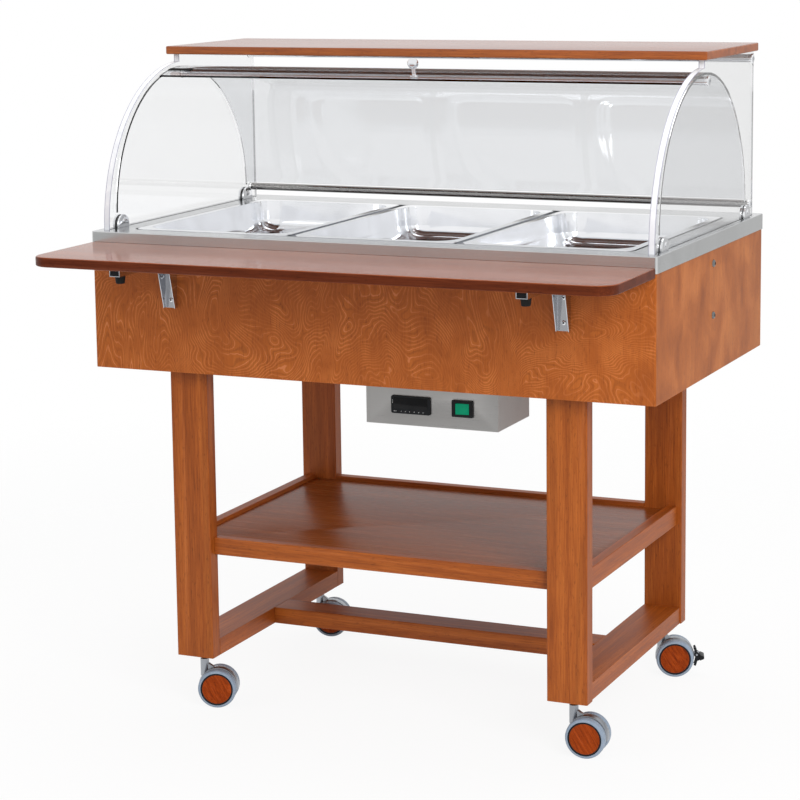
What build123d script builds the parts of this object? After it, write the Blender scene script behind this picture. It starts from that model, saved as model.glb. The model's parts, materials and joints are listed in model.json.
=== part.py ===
from build123d import *
import math
import os

# Heights above the floor
SHELF_TOP = 341.0
DECK_TOP = 938.0

# Gastronorm pans and the bars between them
PAN_WIDTH = 325.0
PAN_LENGTH = 530.0
PAN_DEPTH = 65.0
PAN_PROUD = 1.0
PAN_RIM = 12.5
PAN_RIM_THICK = 1.5
PAN_RIM_R = 18.0
PAN_EDGE_R = 0.9
PAN_LIP = 1.5
PAN_WALL = 1.0
PAN_CORNER_R = 46.0
PAN_FLOOR_R = 30.0
PAN_TAPER_ANGLE = 6.0
PAN_GAP = 13.0
PAN_SLOT = 4.5
PAN_SEAT = 10.0
DIVIDER_WIDTH = 30.0
DIVIDER_DEPTH = 14.0

# Steel deck around the pans and the water tub below it
DECK_END = 62.5
DECK_FRONT = 51.0
DECK_REAR = 87.0
SHEET = 2.0
RIM_HEIGHT = 30.0
RIM_EDGE_R = 1.5
LEDGE_DROP = 6.0
LEDGE_CORNER_R = 24.0
TUB_CLEARANCE = 56.0
HEATER_MARGIN_X = 22.5
HEATER_MARGIN_Y = 65.0
HEATER_THICK = 4.0

# Wooden casing around the tub
CASE_HEIGHT = 263.0
CASE_CORNER_R = 3.0
PANEL_THICK = 18.0
BOTTOM_RECESS = 15.0
BOTTOM_THICK = 12.0
BOLT_HEAD_R = 7.0
BOLT_HEAD_H = 4.0
BOLT_ROUND_R = 2.8
BOLT_Y = 5.0
BOLT_DROPS = (56.0, 153.0)

# Legs and base frame
LEG_WIDTH = 78.0
LEG_DEPTH = 30.0
LEG_INSET_X = 140.0
LEG_INSET_Y = 38.0
LEG_EDGE_R = 2.0
BASE_RAIL_HEIGHT = 33.0
BASE_RAIL_INSET = 3.0
STRETCHER_WIDTH = 64.0

# Lower shelf
SHELF_BOARD_THICK = 18.0
SHELF_RAIL_THICK = 21.0
SHELF_RAIL_DROP = 30.5
SHELF_SIDE_INSET = 10.0
SHELF_FRONT_INSET = 16.0
SHELF_FRONT_LIP = 3.0
SHELF_LIP = 8.0

# Drain cock under the tub, placed from the inner rear corner of the left heater mat
DRAIN_INSET_X = 52.0
DRAIN_INSET_Y = 32.0
DRAIN_DROP = 30.0
DRAIN_PIPE_R = 10.5
DRAIN_BORE_R = 8.0
DRAIN_HOLE_PLAY = 1.0
DRAIN_FLANGE_R = 20.0
DRAIN_FLANGE_GAP = 5.0
DRAIN_BODY_R = 16.0
DRAIN_BODY_HEIGHT = 30.0
DRAIN_BODY_WALL = 4.0
DRAIN_COLLAR_R = 14.0
DRAIN_OUTLET = 24.0
DRAIN_STEM_R = 4.0
DRAIN_STEM_PROUD = 2.0
DRAIN_LEVER_LENGTH = 62.0
DRAIN_LEVER_WIDTH = 14.0
DRAIN_LEVER_THICK = 4.0
DRAIN_LEVER_GAP = 1.0

# Control box under the casing
BOX_LEFT = -40.0
BOX_WIDTH = 266.5
BOX_DEPTH = 159.0
BOX_HEIGHT = 106.0
BOX_FRONT_INSET = 104.0
BOX_WALL = 1.5
PLATE_OFFSET = 92.0
PLATE_SIZE = (80.0, 34.0)
PLATE_R = 4.0
PLATE_THICK = 3.0
PLATE_BODY = (70.0, 28.0, 60.0)
INSTRUMENT_RISE = 39.0
INSTRUMENT_PLAY = 0.3
SWITCH_OFFSET = 196.0
SWITCH_SIZE = (42.0, 31.5)
SWITCH_R = 2.0
SWITCH_THICK = 3.0
SWITCH_BODY = (38.0, 27.0, 22.0)
ROCKER_SIZE = (26.0, 20.0)
ROCKER_PROUD = 3.5
ROCKER_DEPTH = 7.0
ROCKER_TILT_ANGLE = 7.0
ROCKER_PIN_R = 1.5
ROCKER_PIN_SEAT = 1.7
ROCKER_PLAY = 0.3
ROCKER_END_PLAY = 0.5
ROCKER_HEEL = 2.8
ROCKER_HEEL_WIDTH = 18.2
ROCKER_BACK_GAP = 2.7
ROCKER_DISH = 0.8
GLAND_R = 9.0
GLAND_BORE_R = 4.5
GLAND_NUT_R = 12.5
GLAND_NUT_LENGTH = 6.4
GLAND_LENGTH = 16.0
GLAND_FLOOR = 3.0
GLAND_RISE = 53.0

# Clear dome over the deck
DOME_SIDE_INSET = 11.0
DOME_FRONT_INSET = 26.0
DOME_REAR_INSET = 31.5
DOME_SIDE_THICK = 12.0
DOME_ARC_Y = -2.0
DOME_STEP = 14.8
DOME_STEP_Y = -20.0
TOP_SHELF_THICK = 16.0
TOP_SHELF_OVERHANG = 9.0
TOP_SHELF_FRONT = 17.0
TOP_SHELF_REAR = 2.1
TOP_SHELF_EDGE_R = 2.5
TUBE_R = 8.5
TUBE_WALL = 1.5
TUBE_HOLE_PLAY = 0.1
TUBE_LID_GAP = 3.5
TUBE_FRONT_Y = 0.0
TUBE_REAR_INSET = 12.5
TUBE_TOP_INSET = 14.3
FOOT_TUBE_R = 7.5
FOOT_TUBE_INSET = 18.5
FOOT_TUBE_RISE = 24.0
CAP_OVERHANG = 1.0
CAP_H = 4.0
CAP_ROUND_R = 3.2
CLAMP_INSET = 47.0
CLAMP_WIDTH = 40.0
CLAMP_HEIGHT = 25.0
CLAMP_KNEE = 5.0
CLAMP_THICK = 4.0
CLAMP_BUTTON_R = 4.5
CLAMP_BUTTON_H = 1.5
CLAMP_BUTTON_RISE = 12.5

# Roll-back lid that runs in the dome's side grooves
LID_INSET = 36.0
LID_THICK = 4.0
LID_AXIS_Y = -10.0
LID_AXIS_RISE = 27.0
LID_START_ANGLE = 2.0
LID_SWEEP_ANGLE = 106.5
GROOVE_DEPTH = 4.6
GROOVE_PLAY = 0.35
GROOVE_END_PLAY = 0.6
GROOVE_FOOT = 3.0
KNOB_EDGE_ANGLE = 3.6
KNOB_R = 10.5
KNOB_HEIGHT = 35.0
KNOB_NECK_R = 4.0
KNOB_FLANGE_R = 8.0
KNOB_FLANGE_H = 3.0

# Fold-down front tray and its brackets
TRAY_REACH = 230.0
TRAY_GAP = 0.5
TRAY_INSET = 1.0
TRAY_DROP = 20.0
TRAY_THICK = 18.0
TRAY_CORNER_R = 40.0
TRAY_EDGE_R = 3.0
BRACKET_INSET = 169.0
BRACKET_SHEET = 1.5
WALL_WIDTH = 25.0
WALL_HEIGHT = 100.0
WALL_TIP_DEPTH = 10.0
WALL_TAPER_HEIGHT = 70.0
WALL_NOSE_R = 7.0
ARM_WIDTH = 21.4
ARM_DEPTH = 14.5
ARM_FRONT_INSET = 26.0
ARM_TAIL = 14.0
HINGE_OFFSET = 21.5
HINGE_DROP = 8.0
PIN_R = 2.5
PIN_PLAY = 0.05
PIN_OVERHANG = 1.0
BUFFER_FOOT_R = 8.0
BUFFER_TOP_R = 10.0
BUFFER_HEIGHT = 14.5
BUFFER_FRONT_INSET = 46.0
SCREW_R = 4.5
SCREW_H = 2.5
SCREW_ROUND_R = 1.75
SCREW_RISES = (15.0, 60.0)

# Twin-wheel casters under the foot rails
WHEEL_R = 37.5
WHEEL_WIDTH = 17.0
WHEEL_EDGE_R = 4.0
WHEEL_RING_GAP = 5.5
WHEEL_RING_WIDTH = 3.0
WHEEL_RING_DEPTH = 1.5
WHEEL_BORE_DEPTH = 12.0
HOOD_MARGIN = 2.0
HOOD_WIDTH = 18.0
HOOD_DROP = 5.5
HOOD_HEADROOM = 29.0
HOOD_SIDE_PLAY = 0.6
TRAIL = 27.0
BOSS_R = 8.5
BOSS_GAP = 0.4
BOSS_FLOOR = 6.0
NECK_DROP = 10.0
NECK_ANGLE = 12.0
COLLAR_H = 8.0
COLLAR_R = 8.5
STEM_WALL = 1.9
STEM_R = 5.0
STEM_REACH = 28.0
STEM_DEPTH = 34.0
STEM_PLAY = 0.05
STEM_HOLE_PLAY = 0.1
STEM_END_GAP = 1.0
AXLE_R = 4.0
AXLE_PLAY = 0.05
AXLE_END_GAP = 1.0
CASTER_TURN_ANGLE = {"front_left": 18.0, "front_right": 4.0, "rear_left": 13.0, "rear_right": 19.0}

# Foot brakes on the rear casters
BRAKED = ("rear_left", "rear_right")
BRAKE_PIN_GAP = 5.0
BRAKE_ANGLE = 6.0
BRAKE_EYE_R = 5.0
BRAKE_EYE_GAP = 1.5
BRAKE_LUG = 8.0
BRAKE_LUG_LENGTH = 17.0
BRAKE_CHEEK = 4.7
BRAKE_PLAY = 0.3
BRAKE_PIN_R = 2.0
BRAKE_BOW_GAP = 2.0
BRAKE_BOW_THICK = 4.5
BRAKE_BOW_ANGLE = (-24.0, 51.0)
BRAKE_PEDAL_LENGTH = 19.5
BRAKE_PEDAL_WIDTH = 28.0
BRAKE_PEDAL_TIP = 2.5
BRAKE_PEDAL_ROOT = 9.0

# Sizes that follow from those above
HOOD_R = WHEEL_R + HOOD_MARGIN
CASTER_HEIGHT = WHEEL_R + HOOD_R + HOOD_HEADROOM
PAN_PITCH = PAN_WIDTH + PAN_GAP
PAN_ROW_X2 = PAN_PITCH + PAN_WIDTH / 2
CASE_X2 = PAN_ROW_X2 + DECK_END
CASE_Y2 = (PAN_LENGTH + DECK_FRONT + DECK_REAR) / 2
CASE_Y = TRAY_REACH / 2
CASE_BOTTOM = DECK_TOP - CASE_HEIGHT
PAN_ROW_Y = (DECK_FRONT - DECK_REAR) / 2
PAN_TOP = DECK_TOP + PAN_PROUD
RIM_X2 = CASE_X2 + SHEET
RIM_Y2 = CASE_Y2 + SHEET
BOARD_UNDER = CASE_BOTTOM + BOTTOM_RECESS
DECK_UNDER = DECK_TOP - SHEET
LEDGE_TOP = DECK_TOP - LEDGE_DROP
LEDGE_UNDER = LEDGE_TOP - SHEET
TUB_X2 = PAN_ROW_X2 - PAN_SEAT
TUB_Y2 = PAN_LENGTH / 2 - PAN_SEAT
TUB_FLOOR = BOARD_UNDER + BOTTOM_THICK + TUB_CLEARANCE
LEG_X2 = CASE_X2 - LEG_INSET_X
LEG_Y2 = CASE_Y2 - LEG_INSET_Y
LEG_IN_X = LEG_X2 - LEG_WIDTH
LEG_IN_Y = LEG_Y2 - LEG_DEPTH
LEG_X = LEG_X2 - LEG_WIDTH / 2
LEG_Y = LEG_Y2 - LEG_DEPTH / 2
HEATER_X2 = PAN_WIDTH / 2 - HEATER_MARGIN_X
HEATER_Y2 = PAN_LENGTH / 2 - HEATER_MARGIN_Y
DRAIN_X = HEATER_X2 - DRAIN_INSET_X - PAN_PITCH
DRAIN_Y = HEATER_Y2 - DRAIN_INSET_Y + PAN_ROW_Y
DOME_SIDE_X = CASE_X2 - DOME_SIDE_INSET
DOME_IN_X = DOME_SIDE_X - DOME_SIDE_THICK
DOME_FRONT_Y = DOME_FRONT_INSET - CASE_Y2
DOME_REAR_Y = CASE_Y2 - DOME_REAR_INSET
DOME_ARC_R = DOME_ARC_Y - DOME_FRONT_Y
DOME_TOP = DECK_TOP + DOME_ARC_R + DOME_STEP
LID_R = DOME_ARC_R - LID_INSET
LID_AXIS_Z = DECK_TOP + LID_AXIS_RISE
LID_X2 = DOME_IN_X + GROOVE_DEPTH - GROOVE_END_PLAY
TUBE_FRONT_Z = LID_AXIS_Z + LID_R - LID_THICK - TUBE_LID_GAP - TUBE_R
TUBES = (
    (TUBE_FRONT_Y, TUBE_FRONT_Z, TUBE_R),
    (DOME_REAR_Y - TUBE_REAR_INSET, DOME_TOP - TUBE_TOP_INSET, TUBE_R),
    (DOME_REAR_Y - FOOT_TUBE_INSET, DECK_TOP + FOOT_TUBE_RISE, FOOT_TUBE_R),
)
TRAY_X2 = CASE_X2 - TRAY_INSET
TRAY_TOP = DECK_TOP - TRAY_DROP
TRAY_UNDER = TRAY_TOP - TRAY_THICK
TRAY_FRONT = -RIM_Y2 - TRAY_REACH
BRACKET_X = CASE_X2 - BRACKET_INSET
HINGE_Y = -CASE_Y2 - HINGE_OFFSET
HINGE_Z = TRAY_UNDER - HINGE_DROP
BOX_X = (BOX_LEFT, BOX_LEFT + BOX_WIDTH)
BOX_FRONT = BOX_FRONT_INSET - CASE_Y2
BOX_Y = (BOX_FRONT, BOX_FRONT + BOX_DEPTH)
BOX_BOTTOM = BOARD_UNDER - BOX_HEIGHT
PLATE_X = BOX_LEFT + PLATE_OFFSET
SWITCH_X = BOX_LEFT + SWITCH_OFFSET
INSTRUMENT_Z = BOX_BOTTOM + INSTRUMENT_RISE
STEM_Y = LEG_IN_Y - STEM_WALL - STEM_HOLE_PLAY - STEM_R
BRAKE_PIN_REACH = HOOD_R + BRAKE_PIN_GAP
BOSS_TOP = CASTER_HEIGHT - COLLAR_H - BOSS_GAP
BOSS_FOOT = BOSS_TOP - STEM_DEPTH - BOSS_FLOOR
CORNERS = {"front_left": (-1, -1), "front_right": (1, -1), "rear_left": (-1, 1), "rear_right": (1, 1)}


def block(x, y, z):
    """A box between two planes on each axis."""
    centre = Pos((x[0] + x[1]) / 2, (y[0] + y[1]) / 2, (z[0] + z[1]) / 2)
    return centre * Box(x[1] - x[0], y[1] - y[0], z[1] - z[0])


def slab(x2, y2, corner, z, y=0):
    """A level plate with rounded corners, given by its half sizes."""
    return Pos(0, y, z[0]) * extrude(RectangleRounded(2 * x2, 2 * y2, corner), z[1] - z[0])


def rod_x(radius, x, y, z):
    """A round bar along X."""
    return Pos((x[0] + x[1]) / 2, y, z) * Rot(0, 90, 0) * Cylinder(radius, x[1] - x[0])


def rod_y(radius, x, y, z):
    """A round bar along Y."""
    return Pos(x, (y[0] + y[1]) / 2, z) * Rot(90, 0, 0) * Cylinder(radius, y[1] - y[0])


def rod_z(radius, x, y, z):
    """A round bar along Z."""
    return Pos(x, y, (z[0] + z[1]) / 2) * Cylinder(radius, z[1] - z[0])


def along_x(face, x):
    """A face drawn in Y and Z, drawn out between two X planes."""
    return Pos(x[0], 0, 0) * extrude(Plane.YZ * face, x[1] - x[0])


def polygon(*points):
    """A flat face through the given points."""
    return make_face(Polyline(*points, close=True))


def arc_band(centre, radii, start, sweep):
    """A flat band between two arcs about one centre."""
    inner = CenterArc(centre, radii[0], start, sweep)
    outer = CenterArc(centre, radii[1], start, sweep)
    ends = [Line(outer @ 0, inner @ 0), Line(outer @ 1, inner @ 1)]
    return make_face([outer, inner] + ends)


def polar(centre, radius, angle):
    """The point at a radius and an angle in degrees about a centre."""
    turn = math.radians(angle)
    return centre[0] + radius * math.cos(turn), centre[1] + radius * math.sin(turn)


def both_sides(shape):
    """A shape and its mirror image across the middle plane."""
    return [shape, mirror(shape, about=Plane.YZ)]


def group(solids):
    """Several separate solids kept as one node."""
    return Compound(list(solids))


def make_legs():
    """Four legs from the casters up to the bottom board."""
    height = BOARD_UNDER - CASTER_HEIGHT
    leg = extrude(RectangleRounded(LEG_WIDTH, LEG_DEPTH, LEG_EDGE_R), height)
    legs = {}
    for name, (side, end) in CORNERS.items():
        spot = Pos(side * LEG_X, end * LEG_Y, CASTER_HEIGHT)
        legs["leg_" + name] = spot * leg
    return legs


def make_base():
    """The two foot rails, bored for the caster stems, and the stretcher between them."""
    z = (CASTER_HEIGHT, CASTER_HEIGHT + BASE_RAIL_HEIGHT)
    rail = block((LEG_IN_X, LEG_X2 - BASE_RAIL_INSET), (-LEG_IN_Y, LEG_IN_Y), z)
    hole_z = (CASTER_HEIGHT - COLLAR_H, CASTER_HEIGHT + STEM_REACH + STEM_END_GAP)
    for y in (-STEM_Y, STEM_Y):
        rail -= rod_z(STEM_R + STEM_HOLE_PLAY, LEG_X, y, hole_z)
    half = STRETCHER_WIDTH / 2
    stretcher = block((-LEG_IN_X, LEG_IN_X), (-half, half), z)
    return {"base_rails": group(both_sides(rail)), "base_stretcher": stretcher}


def make_shelf():
    """The lower shelf board inside its four rails."""
    foot = SHELF_TOP - SHELF_RAIL_DROP
    lip_z = (foot, SHELF_TOP + SHELF_LIP)
    out_x = LEG_X2 - SHELF_SIDE_INSET
    in_x = out_x - SHELF_RAIL_THICK
    front_y = SHELF_FRONT_INSET - LEG_Y2
    board_y = front_y + SHELF_RAIL_THICK
    front_z = (foot, SHELF_TOP + SHELF_FRONT_LIP)
    side = block((in_x, out_x), (-LEG_IN_Y, LEG_IN_Y), lip_z)
    front = block((-LEG_IN_X, LEG_IN_X), (front_y, board_y), front_z)
    rear = block((-LEG_IN_X, LEG_IN_X), (LEG_IN_Y, LEG_IN_Y + SHELF_RAIL_THICK), lip_z)
    board_z = (SHELF_TOP - SHELF_BOARD_THICK, SHELF_TOP)
    board = block((-LEG_IN_X, LEG_IN_X), (board_y, LEG_IN_Y), board_z)
    for wing in both_sides(block((LEG_IN_X, in_x), (-LEG_IN_Y, LEG_IN_Y), board_z)):
        board += wing
    return {
        "shelf_board": board,
        "shelf_front_rail": front,
        "shelf_rear_rail": rear,
        "shelf_side_rails": group(both_sides(side)),
    }


def make_casing():
    """Four mitred wall panels, the bottom board and the bolts in the end panels."""
    z = (CASE_BOTTOM, DECK_UNDER)
    in_x = CASE_X2 - PANEL_THICK
    in_y = CASE_Y2 - PANEL_THICK
    outline = slab(CASE_X2, CASE_Y2, CASE_CORNER_R, z)
    front_face = polygon((-CASE_X2, -CASE_Y2), (CASE_X2, -CASE_Y2), (in_x, -in_y), (-in_x, -in_y))
    end_face = polygon((CASE_X2, -CASE_Y2), (CASE_X2, CASE_Y2), (in_x, in_y), (in_x, -in_y))
    front = outline & (Pos(0, 0, z[0]) * extrude(front_face, z[1] - z[0]))
    right = outline & (Pos(0, 0, z[0]) * extrude(end_face, z[1] - z[0]))
    board_z = (BOARD_UNDER, BOARD_UNDER + BOTTOM_THICK)
    board = block((-in_x, in_x), (-in_y, in_y), board_z)
    hole_z = (board_z[0] - BOTTOM_THICK, board_z[1] + BOTTOM_THICK)
    board -= rod_z(DRAIN_PIPE_R + DRAIN_HOLE_PLAY, DRAIN_X, DRAIN_Y, hole_z)
    bolts = []
    for drop in BOLT_DROPS:
        head = rod_x(BOLT_HEAD_R, (CASE_X2, CASE_X2 + BOLT_HEAD_H), BOLT_Y, DECK_TOP - drop)
        rim = head.edges().filter_by(GeomType.CIRCLE).group_by(Axis.X)[-1]
        bolts += both_sides(fillet(rim, BOLT_ROUND_R))
    return {
        "case_front_panel": front,
        "case_rear_panel": mirror(front, about=Plane.XZ),
        "case_right_panel": right,
        "case_left_panel": mirror(right, about=Plane.YZ),
        "case_bottom_board": board,
        "case_bolts": group(bolts),
    }


def make_deck():
    """The steel deck with its turned-down rim and sunk ledge, and the welded tub below it."""
    foot = DECK_TOP - RIM_HEIGHT
    deck = slab(RIM_X2, RIM_Y2, CASE_CORNER_R + SHEET, (foot, DECK_TOP))
    deck = fillet(deck.edges().group_by(Axis.Z)[-1], RIM_EDGE_R)
    deck -= slab(CASE_X2, CASE_Y2, CASE_CORNER_R, (foot - SHEET, DECK_UNDER))
    step_x2 = PAN_ROW_X2 + PAN_SLOT
    step_y2 = PAN_LENGTH / 2 + PAN_SLOT
    step_r = PAN_RIM_R + PAN_SLOT
    step_z = (LEDGE_UNDER, DECK_UNDER)
    deck += slab(step_x2 + SHEET, step_y2 + SHEET, step_r + SHEET, step_z, PAN_ROW_Y)
    deck -= slab(step_x2, step_y2, step_r, (LEDGE_TOP, DECK_TOP + SHEET), PAN_ROW_Y)
    deck -= slab(TUB_X2, TUB_Y2, LEDGE_CORNER_R, (LEDGE_UNDER - SHEET, DECK_TOP), PAN_ROW_Y)

    out_x = TUB_X2 + SHEET
    low_y = (PAN_ROW_Y - TUB_Y2 - SHEET, PAN_ROW_Y - TUB_Y2)
    high_y = (PAN_ROW_Y + TUB_Y2, PAN_ROW_Y + TUB_Y2 + SHEET)
    wall_z = (TUB_FLOOR + SHEET, LEDGE_UNDER)
    floor = block((-out_x, out_x), (low_y[0], high_y[1]), (TUB_FLOOR, wall_z[0]))
    floor -= rod_z(DRAIN_BORE_R, DRAIN_X, DRAIN_Y, (TUB_FLOOR - SHEET, wall_z[0] + SHEET))
    tub = [floor]
    tub += [block((-out_x, out_x), y, wall_z) for y in (low_y, high_y)]
    tub += both_sides(block((TUB_X2, out_x), (low_y[1], high_y[0]), wall_z))

    bar_y = (PAN_ROW_Y - TUB_Y2, PAN_ROW_Y + TUB_Y2)
    bar_x = ((PAN_PITCH - DIVIDER_WIDTH) / 2, (PAN_PITCH + DIVIDER_WIDTH) / 2)
    bar = block(bar_x, bar_y, (LEDGE_TOP - DIVIDER_DEPTH, LEDGE_TOP))
    hollow_x = (bar_x[0] + SHEET, bar_x[1] - SHEET)
    hollow_y = (bar_y[0] - SHEET, bar_y[1] + SHEET)
    bar -= block(hollow_x, hollow_y, (LEDGE_TOP - 2 * DIVIDER_DEPTH, LEDGE_UNDER))

    mats = []
    mat_y = (PAN_ROW_Y - HEATER_Y2, PAN_ROW_Y + HEATER_Y2)
    mat_z = (TUB_FLOOR - HEATER_THICK, TUB_FLOOR)
    hole_z = (TUB_FLOOR - 2 * HEATER_THICK, TUB_FLOOR + HEATER_THICK)
    hole = rod_z(DRAIN_FLANGE_R + DRAIN_FLANGE_GAP, DRAIN_X, DRAIN_Y, hole_z)
    for middle in (-PAN_PITCH, 0, PAN_PITCH):
        mat_x = (middle - HEATER_X2, middle + HEATER_X2)
        mats.append(block(mat_x, mat_y, mat_z) - hole)
    return {
        "deck_plate": deck,
        "well": group(tub),
        "pan_dividers": group(both_sides(bar)),
        "heater_mats": group(mats),
    }


def make_pan(x):
    """One lift-out pan with a turned-down rim and tapered walls."""
    rim = slab(PAN_WIDTH / 2, PAN_LENGTH / 2, PAN_RIM_R, (LEDGE_TOP, PAN_TOP))
    rim = fillet(rim.edges().group_by(Axis.Z)[-1], PAN_EDGE_R)
    under_z = (LEDGE_UNDER, PAN_TOP - PAN_RIM_THICK)
    rim -= slab(PAN_WIDTH / 2 - PAN_LIP, PAN_LENGTH / 2 - PAN_LIP, PAN_RIM_R - PAN_LIP, under_z)
    width = PAN_WIDTH - 2 * PAN_RIM
    length = PAN_LENGTH - 2 * PAN_RIM
    outer = extrude(RectangleRounded(width, length, PAN_CORNER_R), -PAN_DEPTH, taper=PAN_TAPER_ANGLE)
    outer = fillet(outer.edges().group_by(Axis.Z)[0], PAN_FLOOR_R)
    skin = PAN_WALL
    cavity = RectangleRounded(width - 2 * skin, length - 2 * skin, PAN_CORNER_R - skin)
    inner = extrude(cavity, skin - PAN_DEPTH, taper=PAN_TAPER_ANGLE)
    inner = fillet(inner.edges().group_by(Axis.Z)[0], PAN_FLOOR_R - skin)
    mouth = extrude(cavity, PAN_RIM_THICK)
    pan = rim + Pos(0, 0, PAN_TOP) * outer
    pan -= Pos(0, 0, PAN_TOP) * (inner + mouth)
    return Pos(x, PAN_ROW_Y, 0) * pan


def make_pans():
    """Three pans side by side."""
    places = {"pan_left": -PAN_PITCH, "pan_middle": 0, "pan_right": PAN_PITCH}
    return {name: make_pan(x) for name, x in places.items()}


def make_drain():
    """The drain cock below the tub, with its outlet to the rear and its quarter-turn lever."""
    top = BOARD_UNDER - DRAIN_DROP
    foot = top - DRAIN_BODY_HEIGHT
    middle = (top + foot) / 2
    back = DRAIN_Y + DRAIN_BODY_R
    mouth = back + DRAIN_OUTLET
    valve = rod_z(DRAIN_FLANGE_R, DRAIN_X, DRAIN_Y, (TUB_FLOOR - HEATER_THICK, TUB_FLOOR))
    valve += rod_z(DRAIN_PIPE_R, DRAIN_X, DRAIN_Y, (middle, TUB_FLOOR))
    valve += rod_z(DRAIN_BODY_R, DRAIN_X, DRAIN_Y, (foot, top))
    valve += rod_y(DRAIN_COLLAR_R, DRAIN_X, (DRAIN_Y, back), middle)
    valve += rod_y(DRAIN_PIPE_R, DRAIN_X, (DRAIN_Y, mouth), middle)
    valve -= rod_z(DRAIN_BORE_R, DRAIN_X, DRAIN_Y, (top - DRAIN_BODY_WALL, TUB_FLOOR + SHEET))
    valve -= rod_y(DRAIN_BORE_R, DRAIN_X, (back - DRAIN_BODY_WALL, mouth + SHEET), middle)
    face = DRAIN_X - DRAIN_BODY_R - DRAIN_LEVER_GAP
    hub = (face - DRAIN_LEVER_THICK, face)
    valve += rod_x(DRAIN_STEM_R, (hub[0] - DRAIN_STEM_PROUD, DRAIN_X), DRAIN_Y, middle)
    half = DRAIN_LEVER_WIDTH / 2
    lever = rod_x(half, hub, DRAIN_Y, middle)
    lever += block(hub, (DRAIN_Y - DRAIN_LEVER_LENGTH, DRAIN_Y), (middle - half, middle + half))
    hole_x = (hub[0] - DRAIN_LEVER_THICK, hub[1] + DRAIN_LEVER_THICK)
    lever -= rod_x(DRAIN_STEM_R + PIN_PLAY, hole_x, DRAIN_Y, middle)
    return {"drain_valve": valve, "drain_lever": lever}


def make_rocker(front):
    """The switch frame and its rocker, which tilts on a pin in the frame."""
    bezel = extrude(Plane.XZ * RectangleRounded(*SWITCH_SIZE, SWITCH_R), SWITCH_THICK)
    body = Pos(0, SWITCH_BODY[2] / 2, 0) * Box(SWITCH_BODY[0], SWITCH_BODY[2], SWITCH_BODY[1])
    frame = bezel + body
    swing = math.radians(ROCKER_TILT_ANGLE)
    face_x2 = ROCKER_SIZE[0] / 2
    high = ROCKER_SIZE[1] / 2
    pivot_y = ROCKER_DEPTH + face_x2 * math.tan(swing) - SWITCH_THICK - ROCKER_PROUD
    mouth_x2 = face_x2 * math.cos(swing) + ROCKER_DEPTH * math.sin(swing) + ROCKER_END_PLAY
    pocket_y = (-2 * SWITCH_THICK, pivot_y + ROCKER_HEEL + ROCKER_BACK_GAP)
    pocket_z2 = high + ROCKER_PLAY
    frame -= block((-mouth_x2, mouth_x2), pocket_y, (-pocket_z2, pocket_z2))
    outline = polygon(
        (-face_x2, -ROCKER_DEPTH),
        (0, ROCKER_DISH - ROCKER_DEPTH),
        (face_x2, -ROCKER_DEPTH),
        (ROCKER_HEEL_WIDTH / 2, ROCKER_HEEL),
        (-ROCKER_HEEL_WIDTH / 2, ROCKER_HEEL),
    )
    rocker = extrude(outline, high, both=True)
    rocker = Pos(0, pivot_y, 0) * Rot(0, 0, ROCKER_TILT_ANGLE) * rocker
    pin_z2 = pocket_z2 + ROCKER_PIN_SEAT
    frame += rod_z(ROCKER_PIN_R, 0, pivot_y, (-pin_z2, pin_z2))
    rocker -= rod_z(ROCKER_PIN_R + PIN_PLAY, 0, pivot_y, (-pin_z2, pin_z2))
    spot = Pos(SWITCH_X, front, INSTRUMENT_Z)
    return spot * frame, spot * rocker


def make_controls():
    """The control box with its thermostat, rocker switch and cable gland."""
    front, rear = BOX_Y
    wall = BOX_WALL
    box = block(BOX_X, BOX_Y, (BOX_BOTTOM, BOARD_UNDER))
    box -= block(
        (BOX_X[0] + wall, BOX_X[1] - wall),
        (front + wall, rear - wall),
        (BOX_BOTTOM + wall, BOARD_UNDER + wall),
    )
    for x, size in ((PLATE_X, PLATE_BODY), (SWITCH_X, SWITCH_BODY)):
        wide = size[0] + 2 * INSTRUMENT_PLAY
        high = size[1] + 2 * INSTRUMENT_PLAY
        box -= Pos(x, front, INSTRUMENT_Z) * Box(wide, 4 * wall, high)

    plate = extrude(Plane.XZ * RectangleRounded(*PLATE_SIZE, PLATE_R), PLATE_THICK)
    body = Pos(0, PLATE_BODY[2] / 2, 0) * Box(PLATE_BODY[0], PLATE_BODY[2], PLATE_BODY[1])
    thermostat = Pos(PLATE_X, front, INSTRUMENT_Z) * (plate + body)
    frame, rocker = make_rocker(front)

    gland = rod_y(GLAND_R, 0, (0, GLAND_LENGTH), 0)
    nut = extrude(Plane.XZ * RegularPolygon(GLAND_NUT_R, 6), GLAND_NUT_LENGTH)
    gland += Pos(0, GLAND_NUT_LENGTH, 0) * nut
    gland -= rod_y(GLAND_BORE_R, 0, (GLAND_FLOOR, GLAND_LENGTH + GLAND_FLOOR), 0)
    gland_spot = Pos((BOX_X[0] + BOX_X[1]) / 2, rear, BOX_BOTTOM + GLAND_RISE)
    return {
        "control_box": box,
        "thermostat": thermostat,
        "switch_frame": frame,
        "switch_rocker": rocker,
        "cable_gland": gland_spot * gland,
    }


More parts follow.
